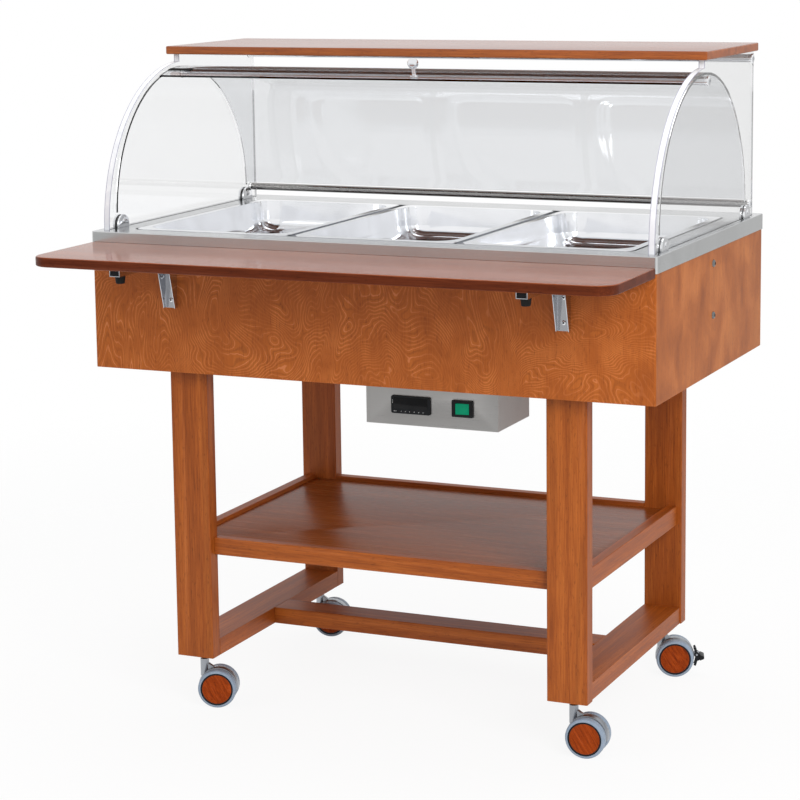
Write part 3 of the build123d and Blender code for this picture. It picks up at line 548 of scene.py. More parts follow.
@dataclass(frozen=True)
class Card(Finish):
    """A plain grey card that bright metal and clear edges mirror."""

    level: float

    def make(self, graph: Graph) -> None:
        """Fills an empty graph with one even grey."""
        grey = graph.value("ShaderNodeEmission", None, {"Color": WHITE, "Strength": self.level})
        graph.node("ShaderNodeOutputMaterial", None, {"Surface": grey})


@dataclass(frozen=True)
class Ground(Finish):
    """The pale floor, white where nothing shades it and gone at a distance."""

    tones: tuple[Colour, Colour] = ((0.90, 0.90, 0.90), (0.93, 0.93, 0.93))
    rough: float = 0.9
    shine: float = 0.90
    fade_from: float = 1.3
    fade_to: float = 3.2

    def make(self, graph: Graph) -> None:
        """Mixes a matt floor with plain white and lets it fade out.

        Args:
            graph: The empty graph to fill.
        """
        colour = graph.mix(FLOOR_SPECKS.read(graph), *self.tones)
        inputs = {"Base Color": colour, "Roughness": self.rough}
        matt = graph.value("ShaderNodeBsdfPrincipled", None, inputs)
        white = graph.value("ShaderNodeEmission", None, {"Color": WHITE, "Strength": 1.0})
        clear = graph.value("ShaderNodeBsdfTransparent")
        inputs = {0: graph.seen() * self.shine, 1: matt, 2: white}
        shown = graph.value("ShaderNodeMixShader", None, inputs)
        spot = graph.place((1.0, 1.0, 1.0))
        reach = graph.value("ShaderNodeVectorMath", {"operation": "LENGTH"}, {0: spot}, "Value")
        inputs = {0: reach.above(self.fade_from, self.fade_to), 1: shown, 2: clear}
        faded = graph.value("ShaderNodeMixShader", None, inputs)
        graph.node("ShaderNodeOutputMaterial", None, {"Surface": faded})


# The dark, middle and pale stain of each wood
LEG_TONES = ((0.23, 0.050, 0.006), (0.34, 0.080, 0.010), (0.46, 0.124, 0.018))
VENEER_TONES = ((0.30, 0.068, 0.008), (0.42, 0.105, 0.013), (0.55, 0.155, 0.024))
END_TONES = ((0.27, 0.070, 0.013), (0.41, 0.118, 0.024), (0.55, 0.180, 0.044))
BOARD_TONES = ((0.13, 0.028, 0.008), (0.19, 0.043, 0.011), (0.26, 0.066, 0.016))
TRAY_TONES = ((0.17, 0.037, 0.009), (0.25, 0.056, 0.012), (0.34, 0.085, 0.018))
SHELF_TONES = ((0.165, 0.040, 0.007), (0.24, 0.061, 0.010), (0.32, 0.090, 0.015))
EDGE_TONES = ((0.070, 0.013, 0.004), (0.105, 0.020, 0.006), (0.150, 0.032, 0.010))
# The underside's stain is set for how the shelf's shaded underside shows in the lid and tubes:
# painted shade
UNDER_SHADE_TONES = ((0.22, 0.066, 0.026), (0.30, 0.090, 0.036), (0.38, 0.120, 0.048))
DISC_TONES = ((0.15, 0.021, 0.003), (0.31, 0.045, 0.004), (0.42, 0.070, 0.008))

# The finishes
LEG_WOOD = Wood("leg_beech", *LEG_TONES, Grain.ALONG_Z, Figure.STRAIGHT)
RAIL_WOOD_X = Wood("rail_beech_lengthwise", *LEG_TONES, Grain.ALONG_X, Figure.STRAIGHT)
RAIL_WOOD_Y = Wood("rail_beech_crosswise", *LEG_TONES, Grain.ALONG_Y, Figure.STRAIGHT)
FRONT_VENEER = Wood(
    "front_veneer", *VENEER_TONES, Grain.ALONG_Z, Figure.SWIRL, shift=(0.4, 0.0, 0.2)
)
END_VENEER = Wood("end_veneer", *END_TONES, Grain.ALONG_Z, Figure.EVEN, rough=0.40, gloss=0.15)
INNER_VENEER = Wood("inner_veneer", *VENEER_TONES, rough=0.55)
TRAY_BOARD = Wood("tray_board", *TRAY_TONES, rough=0.14, gloss=0.11)
TRAY_EDGE = Wood("tray_edge", *EDGE_TONES, figure=Figure.STRAIGHT, rough=0.35, gloss=0.10)
TOP_BOARD = Wood("top_board", *BOARD_TONES, rough=0.20, gloss=0.5)
# The top shelf's underside takes its own stain as painted shade
TOP_UNDER_PAINTED_SHADE = Wood("top_board_under_painted_shade", *UNDER_SHADE_TONES, rough=0.40, gloss=0.2)
TOP_EDGE = Wood("top_board_edge", *LEG_TONES, figure=Figure.STRAIGHT, rough=0.32, gloss=0.5)
SHELF_BOARD = Wood("shelf_board", *SHELF_TONES, rough=0.26, gloss=0.13)
DISC_WOOD = Wood(
    "wheel_disc_wood", *DISC_TONES, Grain.SLANTED, Figure.STRAIGHT, rough=0.40, gloss=0.08, fine=6.0
)
DECK_STEEL = Steel("deck_steel", (0.66, 0.67, 0.67), 0.20)
# A darker copy of the deck steel for the deck's top and the pan dividers: painted shade
DECK_TOP_PAINTED_SHADE = Steel("deck_top_painted_shade_steel", (0.53, 0.54, 0.55), 0.20)
PAN_STEEL = Steel("pan_steel", (0.89, 0.90, 0.925), 0.12, Grain.ALONG_Y, streak=0.03, smear=0.04)
# Steel set darker than the box's metal: painted shade for the shade under the casing
BOX_STEEL_PAINTED_SHADE = Steel("box_steel", (0.47, 0.46, 0.45), 0.34, streak=0.32)
PLATED = Steel("plated_steel", (0.62, 0.63, 0.66), 0.14, Grain.ALONG_Y, streak=0.08)
CHROME = Steel("chrome", (0.84, 0.85, 0.87), 0.04, streak=0.02, smear=0.03)
# A darker copy of the tube steel for the foot tube: a painted dark reflection
FOOT_TUBE_PAINTED_DARK = Steel("foot_tube_painted_dark_reflection", (0.36, 0.35, 0.34), 0.12, streak=0.05)
BOLT_STEEL = Steel("bolt_steel", (0.20, 0.20, 0.20), 0.22, streak=0.04, smear=0.04)
HOOD = Steel("hood_metal", (0.37, 0.39, 0.42), 0.32, Grain.ALONG_Z, streak=0.06)
BRASS = Steel("valve_brass", (0.72, 0.53, 0.24), 0.25)
ACRYLIC = Clear("clear_acrylic", (0.955, 0.96, 0.965))
LID_ACRYLIC = Clear("lid_acrylic", (0.78, 0.79, 0.805))
# A pale band and dark lines laid on the clear edges: painted highlight and painted dark reflection
ACRYLIC_EDGE_PAINTED_HIGHLIGHT = Moulded("acrylic_edge_painted_highlight", (0.80, 0.81, 0.85), 0.20, grain=0.00001)
ACRYLIC_ARRIS_PAINTED_DARK_LINE = Moulded("acrylic_arris_painted_dark_line", (0.38, 0.38, 0.47), 0.20, grain=0.00001)
BLACK = Moulded("black_plastic", (0.007, 0.008, 0.010), 0.38, gloss=0.2)
BLACK_GLOSS = Moulded("display_window", (0.002, 0.002, 0.003), 0.10, grain=0.00001, gloss=0.2)
RUBBER = Moulded("black_rubber", (0.008, 0.008, 0.008), 0.70, grain=0.00008, gloss=0.2)
TYRE = Moulded("tyre_rubber", (0.25, 0.315, 0.40), 0.45, grain=0.00006)
# The rocker's emission is a painted glow that brightens its green
GREEN = Moulded("green_rocker_painted_glow", (0.0003, 0.16, 0.080), 0.35, grain=0.00002, gloss=0.1, painted_glow=0.70)
PALE_MARK = Moulded("pale_marks", (0.55, 0.57, 0.58), 0.5)
RED_PAINT = Moulded("lever_paint", (0.40, 0.03, 0.02), 0.30, grain=0.00002)
MAT_SILICONE = Moulded("heater_silicone", (0.25, 0.05, 0.03), 0.6, grain=0.00008)
FRONT_CARD = Card("front_card_grey", 0.55)
SIDE_CARD = Card("side_card_grey", 0.60)
FLOOR = Ground("pale_floor")


# Mesh building

# A stud's outline: shares of the socket's or the head's radius, and of the height
SOCKET_OUTLINE = ((0.0, 0.45), (1.0, 0.45), (1.06, 0.97), (1.30, 1.0))
HEAD_OUTLINE = ((0.62, 0.90), (0.84, 0.68), (0.96, 0.36), (1.0, 0.0))
# How far out a stud's sunk socket is painted black, as painted shade in the socket
SOCKET_SHADE_PAINT = 1.02
STUD_STEPS = 32
ROUND_SEGMENTS = 2
# How far up or down a face looks that counts as a board's top or underside
TOP_SHARE = 0.7


@dataclass(frozen=True)
class Head:
    """The sizes of a domed head with a sunk socket."""

    radius: float
    rise: float
    socket: float


def placed(spot: Sequence[float], axis: str, way: int = 1) -> Matrix:
    """A quarter turn about an axis, one way or the other, and then a shift to a spot."""
    return Matrix.Translation(spot) @ Matrix.Rotation(way * QUARTER, 4, axis)


def stand(name: str, data: bpy.types.ID) -> bpy.types.Object:
    """Puts a mesh, lamp or camera into the scene.

    Args:
        name: The object's name.
        data: What it shows.

    Returns:
        The object.
    """
    item = bpy.data.objects.new(name, data)
    bpy.context.scene.collection.objects.link(item)
    return item


class Shape:
    """A mesh under construction."""

    def __init__(self) -> None:
        """Starts empty."""
        self.bm = bmesh.new()

    def block(self, low: Sequence[float], high: Sequence[float]) -> Shape:
        """Adds a box between two corners.

        Args:
            low: The lowest corner, in metres.
            high: The highest corner.

        Returns:
            This shape.
        """
        size = Vector(high) - Vector(low)
        middle = (Vector(high) + Vector(low)) / 2
        matrix = Matrix.Translation(middle) @ Matrix.Diagonal((*size, 1.0))
        bmesh.ops.create_cube(self.bm, size=1.0, matrix=matrix)
        return self

    def lathe(self, profile: Sequence[Pair], steps: int = 48) -> Shape:
        """Turns an outline about Z.

        Args:
            profile: Radius and height of each point of the outline.
            steps: Number of steps in the full turn.

        Returns:
            This shape.
        """
        points = [self.bm.verts.new((radius, 0.0, height)) for radius, height in profile]
        edges = [self.bm.edges.new(pair) for pair in zip(points, points[1:])]
        bmesh.ops.spin(self.bm, geom=points + edges, cent=STILL, axis=(0, 0, 1),
                       angle=2 * math.pi, steps=steps, use_merge=True)
        return self.mend()

    def drum(self, radius: float, half: float, steps: int = 48) -> Shape:
        """Turns a plain drum about Z, with half its height to each side of Z 0."""
        return self.lathe([(0.0, -half), (radius, -half), (radius, half), (0.0, half)], steps)

    def stud(self, head: Head, place: Matrix) -> Shape:
        """Adds a domed head whose sunk socket has material 1, black in every use as painted shade in
        the socket.

        Args:
            head: Its sizes.
            place: What moves it from the XY plane, where its foot is, to its place.

        Returns:
            This shape.
        """
        profile = [(head.socket * out, head.rise * up) for out, up in SOCKET_OUTLINE]
        profile += [(head.radius * out, head.rise * up) for out, up in HEAD_OUTLINE]
        made = Shape().lathe(profile, STUD_STEPS)
        # The socket takes material 1, black in every use: painted shade
        made.paint([(1, 0.0, head.socket * SOCKET_SHADE_PAINT)], 0.0)
        return self.join(made.move(place))

    def band(self, x: Pair, centre: Pair, radii: Pair, angles: Pair, steps: int = 12) -> Shape:
        """Sweeps a flat strip about an axis along X.

        Args:
            x: The strip's two ends.
            centre: The axis, in Y and Z.
            radii: The strip's inner and outer radius.
            angles: Where the sweep starts and ends, in degrees from Y towards Z.
            steps: Number of steps in the sweep.

        Returns:
            This shape.
        """
        start, end = (math.radians(angle) for angle in angles)
        along, up = math.cos(start), math.sin(start)
        corners = [(x[0], radii[0]), (x[1], radii[0]), (x[1], radii[1]), (x[0], radii[1])]
        points = [
            self.bm.verts.new((side, centre[0] + radius * along, centre[1] + radius * up))
            for side, radius in corners
        ]
        face = self.bm.faces.new(points)
        bmesh.ops.spin(self.bm, geom=[face], cent=(0, *centre), axis=(1, 0, 0), angle=end - start,
                       steps=steps)
        return self.mend()

    def slab(self, outline: Sequence[Pair], half: float) -> Shape:
        """Extrudes an outline in XZ to both sides of Y 0.

        Args:
            outline: X and Z of each corner.
            half: Half the thickness.

        Returns:
            This shape.
        """
        face = self.bm.faces.new([self.bm.verts.new((x, -half, z)) for x, z in outline])
        made = bmesh.ops.extrude_face_region(self.bm, geom=[face])["geom"]
        moved = [item for item in made if isinstance(item, bmesh.types.BMVert)]
        bmesh.ops.translate(self.bm, verts=moved, vec=(0, 2 * half, 0))
        bmesh.ops.recalc_face_normals(self.bm, faces=self.bm.faces)
        return self

    def cut_below(self, height: float) -> Shape:
        """Cuts off what is below a height and closes the cut.

        Args:
            height: Where to cut.

        Returns:
            This shape.
        """
        geom = [*self.bm.verts, *self.bm.edges, *self.bm.faces]
        cut = bmesh.ops.bisect_plane(self.bm, geom=geom, plane_co=(0, 0, height),
                                     plane_no=(0, 0, -1), clear_outer=True)["geom_cut"]
        border = [item for item in cut if isinstance(item, bmesh.types.BMEdge)]
        bmesh.ops.contextual_create(self.bm, geom=border)
        bmesh.ops.recalc_face_normals(self.bm, faces=self.bm.faces)
        return self

    def mend(self) -> Shape:
        """Merges doubled points and turns every face outwards.

        Returns:
            This shape.
        """
        bmesh.ops.remove_doubles(self.bm, verts=self.bm.verts, dist=MERGE)
        bmesh.ops.recalc_face_normals(self.bm, faces=self.bm.faces)
        return self

    def tint(self, index: int) -> Shape:
        """Gives every face one material number.

        Args:
            index: The material number.

        Returns:
            This shape.
        """
        for face in self.bm.faces:
            face.material_index = index
        return self

    def join(self, other: Shape) -> Shape:
        """Takes in another shape, which is used up.

        Args:
            other: The shape to take in.

        Returns:
            This shape.
        """
        mesh = bpy.data.meshes.new("joined")
        other.bm.to_mesh(mesh)
        other.bm.free()
        self.bm.from_mesh(mesh)
        bpy.data.meshes.remove(mesh)
        return self

    def round_edges(self, width: float) -> Shape:
        """Rounds every sharp edge.

        Args:
            width: The width of the rounding, in metres.

        Returns:
            This shape.
        """
        limit = math.radians(ROUND_LIMIT)
        sharp = [e for e in self.bm.edges if e.is_manifold and e.calc_face_angle(0.0) > limit]
        return self.bevel(sharp, width, ROUND_SEGMENTS)

    def bevel(self, edges: Sequence[bmesh.types.BMEdge], width: float, segments: int) -> Shape:
        """Rounds chosen edges.

        Args:
            edges: The edges.
            width: The width of the rounding, in metres.
            segments: Number of faces across the rounding.

        Returns:
            This shape.
        """
        bmesh.ops.bevel(self.bm, geom=edges, offset=width, offset_type="OFFSET", segments=segments,
                        profile=0.5, affect="EDGES", clamp_overlap=True, material=-1)
        return self

    def move(self, matrix: Matrix) -> Shape:
        """Moves the whole shape by a matrix."""
        bmesh.ops.transform(self.bm, matrix=matrix, verts=self.bm.verts)
        return self

    def paint(self, zones: Sequence[tuple[int, float, float]], height: float) -> Shape:
        """Gives faces above a height a material by their distance from Z.

        Args:
            zones: Material number, inner and outer radius of each ring.
            height: The least height of a painted face.

        Returns:
            This shape.
        """
        for face in self.bm.faces:
            middle = face.calc_center_median()
            radius = math.hypot(middle.x, middle.y)
            for index, inner, outer in zones:
                if middle.z > height and inner <= radius < outer:
                    face.material_index = index
        return self

    def into(
        self, name: str, finishes: Sequence[Finish], body: str, replaced: Sequence[str] = ()
    ) -> None:
        """Ends the shape as a piece that rides on a body.

        Args:
            name: The piece's name.
            finishes: Its finishes, in the order of its material numbers.
            body: The body that it moves with.
            replaced: The solids that it stands for.
        """
        mesh = bpy.data.meshes.new(name)
        self.bm.to_mesh(mesh)
        self.bm.free()
        mesh.shade_smooth()
        mesh.set_sharp_from_angle(angle=math.radians(SMOOTH_LIMIT))
        for finish in finishes:
            mesh.materials.append(finish.material())
        piece = stand(name, mesh)
        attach(piece, body)
        if replaced:
            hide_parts(*replaced)
        LOG.info("made %s with %d faces", name, len(mesh.polygons))


class Solids:
    """The loaded frame and what is done to its solids."""

    def __init__(self) -> None:
        """Loads the frame."""
        self.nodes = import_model()["nodes"]

    def dress(self, finish: Finish, *names: str) -> None:
        """Gives solids a finish as they are.

        Args:
            finish: The finish.
            names: The solids.
        """
        for name in names:
            mesh = self.nodes[name].data
            mesh.materials.clear()
            mesh.materials.append(finish.material())
            LOG.info("dressed %s", name)

    def soften(self, finish: Finish, width: float, *names: str) -> None:
        """Stands copies in for solids, with edges rounded to a width in metres."""
        for name in names:
            self.stand_in(name, self.copy(name).round_edges(width), finish)

    def board(self, name: str, top: Finish, under: Finish, painted_edge: Finish) -> None:
        """Stands a copy in for a board, with a finish each for its top, underside and edges.

        Args:
            name: The board's solid.
            top: The finish of the top.
            under: The finish of the underside.
            painted_edge: The finish of the edges.
        """
        shape = self.copy(name)
        for face in shape.bm.faces:
            if face.normal.z < -TOP_SHARE:
                face.material_index = 1
            elif face.normal.z < TOP_SHARE:
                face.material_index = 2
        self.stand_in(name, shape, top, under, painted_edge)

    def stand_in(self, name: str, shape: Shape, *finishes: Finish) -> None:
        """Shows a shape with its finishes in place of a solid, on that solid's body."""
        shape.into(name + "_shown", finishes, self.nodes[name]["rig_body"], [name])

    def copy(self, name: str) -> Shape:
        """A merged copy of a solid's mesh, with its flat faces whole.

        Args:
            name: The solid.

        Returns:
            The copy.
        """
        shape = Shape()
        shape.bm.from_mesh(self.nodes[name].data)
        bmesh.ops.remove_doubles(shape.bm, verts=shape.bm.verts, dist=MERGE)
        bmesh.ops.dissolve_limit(shape.bm, angle_limit=math.radians(FLAT_LIMIT),
                                 verts=shape.bm.verts, edges=shape.bm.edges)
        return shape.tint(0)


# The trolley's sub-assemblies
@dataclass
class Assembly:
    """A sub-assembly, which dresses some of the trolley's solids or stands pieces in for them."""

    solids: Solids

    def build(self) -> None:
        """Makes and dresses the pieces."""
        raise NotImplementedError


@dataclass
class BaseFrame(Assembly):
    """Legs, foot rails and the lower shelf."""

    painted_edge: float = 0.0012
    legs: tuple[str, ...] = ("leg_front_left", "leg_front_right", "leg_rear_left", "leg_rear_right")

    def build(self) -> None:
        """Dresses the legs and softens the rails and the shelf."""
        self.solids.dress(LEG_WOOD, *self.legs)
        self.solids.soften(RAIL_WOOD_Y, self.painted_edge, "base_rails", "shelf_side_rails")
        self.solids.soften(
            RAIL_WOOD_X, self.painted_edge, "base_stretcher", "shelf_front_rail", "shelf_rear_rail"
        )
        self.solids.soften(SHELF_BOARD, self.painted_edge / 2, "shelf_board")


@dataclass
class Casing(Assembly):
    """The veneered walls and the bolts in the end panels."""

    painted_edge: float = 0.0008
    bolt: Head = Head(0.007, 0.004, 0.0026)
    bolt_x: float = 0.563
    bolt_y: float = 0.120
    bolt_heights: tuple[float, ...] = (0.882, 0.785)

    def build(self) -> None:
        """Softens the panels and turns the bolt heads, their sunk sockets painted black as painted
        shade.
        """
        self.solids.soften(FRONT_VENEER, self.painted_edge, "case_front_panel", "case_rear_panel")
        self.solids.soften(END_VENEER, self.painted_edge, "case_left_panel", "case_right_panel")
        self.solids.dress(INNER_VENEER, "case_bottom_board")
        heads = Shape()
        for side in SIDES:
            for height in self.bolt_heights:
                spot = (side * self.bolt_x, self.bolt_y, height)
                heads.stud(self.bolt, placed(spot, "Y", side))
        # Sockets painted black: painted shade
        heads.into("case_bolt_heads", [BOLT_STEEL, BLACK], "frame", ["case_bolts"])


@dataclass
class Deck(Assembly):
    """The steel deck, tub, pans, heater and drain."""

    painted_edge: float = 0.0008

    def build(self) -> None:
        """Dresses the deck's solids, the deck's top and the dividers in a darker steel as painted
        shade.
        """
        # The deck's top takes the darker steel copy as painted shade; underside and edges take the
        # plain deck steel
        self.solids.board("deck_plate", DECK_TOP_PAINTED_SHADE, DECK_STEEL, DECK_STEEL)
        self.solids.dress(DECK_TOP_PAINTED_SHADE, "pan_dividers")
        self.solids.dress(DECK_STEEL, "well")
        self.solids.dress(PAN_STEEL, "pan_left", "pan_middle", "pan_right")
        self.solids.dress(MAT_SILICONE, "heater_mats")
        self.solids.soften(BRASS, self.painted_edge, "drain_valve")
        self.solids.soften(RED_PAINT, self.painted_edge, "drain_lever")


@dataclass
class Dome(Assembly):
    """The clear dome, its lid, tubes, clamps and top shelf."""

    side_x: float = 0.552
    foot_tube_top: float = 1.1
    cap_rise: float = 0.004
    cap_socket: float = 0.0022
    # Y, Z and radius of the caps on one side
    caps: tuple[Point, ...] = (
        (0.115, 1.219, 0.0095), (0.405, 1.2445, 0.0095), (0.399, 0.962, 0.0085),
    )
    # The painted skin on a side panel's edge, a painted highlight between two painted dark lines: an
    # arc, its axis in Y and Z, and an upright step
    panel_x: Pair = (0.540, 0.552)
    arc_axis: Pair = (0.113, 0.938)
    arc_radii: Pair = (0.306, 0.3063)
    arc_angles: Pair = (180.0, 93.4)
    arc_steps: int = 72
    step_y: float = 0.095
    step_z: Pair = (1.2436, 1.2588)
    skin: float = 0.0003
    arris: float = 0.0013
    clamp_edge: float = 0.0014
    button: Head = Head(0.0036, 0.0010, 0.0012)
    button_x: Pair = (0.5575, 0.5345)
    button_y: Pair = (-0.146, 0.3705)
    button_z: float = 0.9505
    # A black strip at the lid's left end, a painted dark reflection, about the lid's axis in Y and Z
    lid_axis: Pair = (0.105, 0.965)
    painted_strip_x: Pair = (-0.5385, -0.489)
    painted_strip_radii: Pair = (0.270, 0.2718)
    painted_strip_angles: Pair = (100.0, 102.6)

    def build(self) -> None:
        """Dresses the dome, turns its caps and clamp pins and lays a black strip at the lid's left
        end, a painted dark reflection.
        """
        self.solids.dress(ACRYLIC, "dome_panel_left", "dome_panel_right")
        self.solids.dress(LID_ACRYLIC, "dome_lid")
        self._edges()
        self.solids.dress(CHROME, "lid_knob")
        self._tubes()
        self.solids.soften(CHROME, self.clamp_edge, "dome_clamps")
        # The underside takes its own stain as painted shade
        self.solids.board("top_shelf", TOP_BOARD, TOP_UNDER_PAINTED_SHADE, TOP_EDGE)
        self._caps()
        self._buttons()
        # A black strip laid as a painted dark reflection at the lid's left end
        strip = Shape().band(self.painted_strip_x, self.lid_axis, self.painted_strip_radii, self.painted_strip_angles)
        strip.into("lid_painted_dark_strip", [RUBBER], "lid")

    def _tubes(self) -> None:
        """Stands a copy in for the cross tubes, the foot tube in a darker steel than the upper two
        as a painted dark reflection.
        """
        tubes = self.solids.copy("dome_tubes")
        # Faces of the foot tube take the darker steel: a painted dark reflection
        for face in tubes.bm.faces:
            if face.calc_center_median().z < self.foot_tube_top:
                face.material_index = 1
        self.solids.stand_in("dome_tubes", tubes, CHROME, FOOT_TUBE_PAINTED_DARK)

    def _edges(self) -> None:
        """Lays a thin skin along each side panel's arc and front step: a pale band that is a painted
        highlight of the light in the acrylic's edge, between two fine dark lines that are a painted
        reflection.
        """
        for side, name in zip(SIDES, ("left", "right")):
            inner, outer = sorted((side * self.panel_x[0], side * self.panel_x[1]))
            # Lane 0 is the painted highlight, the two lanes 1 are the painted dark lines
            lanes = [
                (0, inner + self.arris, outer - self.arris),
                (1, inner, inner + self.arris),
                (1, outer - self.arris, outer),
            ]
            painted_edge = Shape()
            for index, x0, x1 in lanes:
                lane = (x0, x1)
                bow = Shape().band(
                    lane, self.arc_axis, self.arc_radii, self.arc_angles, self.arc_steps
                )
                low = (x0, self.step_y - self.skin, self.step_z[0])
                step = Shape().block(low, (x1, self.step_y, self.step_z[1]))
                painted_edge.join(bow.tint(index)).join(step.tint(index))
            painted_edge.into(f"dome_panel_{name}_edge", [ACRYLIC_EDGE_PAINTED_HIGHLIGHT, ACRYLIC_ARRIS_PAINTED_DARK_LINE], "frame")

    def _caps(self) -> None:
        """Turns a cap for each end of the cross tubes, its sunk centre painted black as painted
        shade.
        """
        caps = Shape()
        for side in SIDES:
            for y, z, radius in self.caps:
                cap = Head(radius, self.cap_rise, self.cap_socket)
                caps.stud(cap, placed((side * self.side_x, y, z), "Y", side))
        # Sunk centres painted black: painted shade
        self.solids.stand_in("dome_tube_caps", caps, CHROME, BLACK)

    def _buttons(self) -> None:
        """Turns a small domed pin on each clamp's button, its sunk centre painted black as painted
        shade.
        """
        pins = Shape()
        for side in SIDES:
            for x, way in zip(self.button_x, (1, -1)):
                for y in self.button_y:
                    spot = (side * x, y, self.button_z)
                    pins.stud(self.button, placed(spot, "Y", side * way))
        # Sunk centres painted black: painted shade
        pins.into("clamp_pins", [CHROME, BLACK], "frame")


@dataclass
class Tray(Assembly):
    """The front tray and its folding brackets."""

    arm_x: float = 0.394
    arm_edge: float = 0.0004
    buffer_edge: float = 0.0010
    plug_low: Point = (-0.0088, -0.4235, 0.8872)
    plug_high: Point = (0.0088, -0.4020, 0.8990)
    plug_edge: float = 0.0006
    screw: Head = Head(0.0045, 0.0025, 0.0018)
    screw_y: float = -0.2205
    screw_heights: Pair = (0.814, 0.859)

    def build(self) -> None:
        """Dresses the tray, plugs the ends of its arms and turns the screws, their sunk sockets
        painted black as painted shade.
        """
        self.solids.board("front_tray", TRAY_BOARD, TRAY_BOARD, TRAY_EDGE)
        self.solids.soften(PLATED, self.arm_edge, "bracket_arms", "bracket_wall_channels")
        self.solids.soften(RUBBER, self.buffer_edge, "tray_buffers")
        self.solids.dress(CHROME, "bracket_pins")
        plugs = Shape()
        screws = Shape()
        for side in SIDES:
            arm = Vector((side * self.arm_x, 0, 0))
            plugs.block(Vector(self.plug_low) + arm, Vector(self.plug_high) + arm)
            for height in self.screw_heights:
                screws.stud(self.screw, placed((arm.x, self.screw_y, height), "X"))
        plugs.round_edges(self.plug_edge).into("arm_end_plugs", [BLACK], "tray")
        # Sockets painted black: painted shade
        screws.into("bracket_screw_heads", [CHROME, BLACK], "frame", ["bracket_screws"])


@dataclass
class Controls(Assembly):
    """The control box and what is on it."""

    box_edge: float = 0.0005
    plate_edge: float = 0.0006
    rocker_edge: float = 0.0008
    face_y: float = -0.118
    proud: float = 0.0004
    sunk: float = 0.0002
    # The thermostat's middle in X and Z, then half its window's width and height
    plate: Pair = (0.052, 0.623)
    window: Pair = (0.034, 0.0105)
    window_rise: float = 0.003
    pip: float = 0.0006
    # The marks, from the thermostat's middle
    row: tuple[float, ...] = (
        -0.0335, -0.0315, -0.0290, -0.0190, -0.0105, -0.0020, 0.0075, 0.0165, 0.0255,
    )
    row_drop: float = 0.0125
    column: tuple[float, ...] = (0.003, 0.0055, 0.008)
    column_x: float = -0.0365

    def build(self) -> None:
        """Dresses the box in steel darkened as painted shade and adds the thermostat's window and
        key marks.
        """
        # The box's steel is darkened as painted shade
        self.solids.soften(BOX_STEEL_PAINTED_SHADE, self.box_edge, "control_box")
        self.solids.soften(BLACK, self.plate_edge, "thermostat", "switch_frame", "cable_gland")
        self.solids.soften(GREEN, self.rocker_edge, "switch_rocker")
        glass = Shape()
        self._plate(glass, (0.0, self.window_rise), self.window)
        glass.round_edges(self.sunk).into("thermostat_window", [BLACK_GLOSS], "frame")
        marks = Shape()
        spots = [(x, -self.row_drop) for x in self.row]
        spots += [(self.column_x, z) for z in self.column]
        for spot in spots:
            self._plate(marks, spot, (self.pip, self.pip))
        marks.into("thermostat_marks", [PALE_MARK], "frame")

    def _plate(self, shape: Shape, middle: Pair, half: Pair) -> None:
        """Adds a thin plate on the thermostat's face.

        Args:
            shape: The shape that takes it.
            middle: Its middle, from the middle of the thermostat, across and up.
            half: Half its width and half its height.
        """
        x, z = self.plate[0] + middle[0], self.plate[1] + middle[1]
        low = (x - half[0], self.face_y - self.proud, z - half[1])
        high = (x + half[0], self.face_y + self.sunk, z + half[1])
        shape.block(low, high)


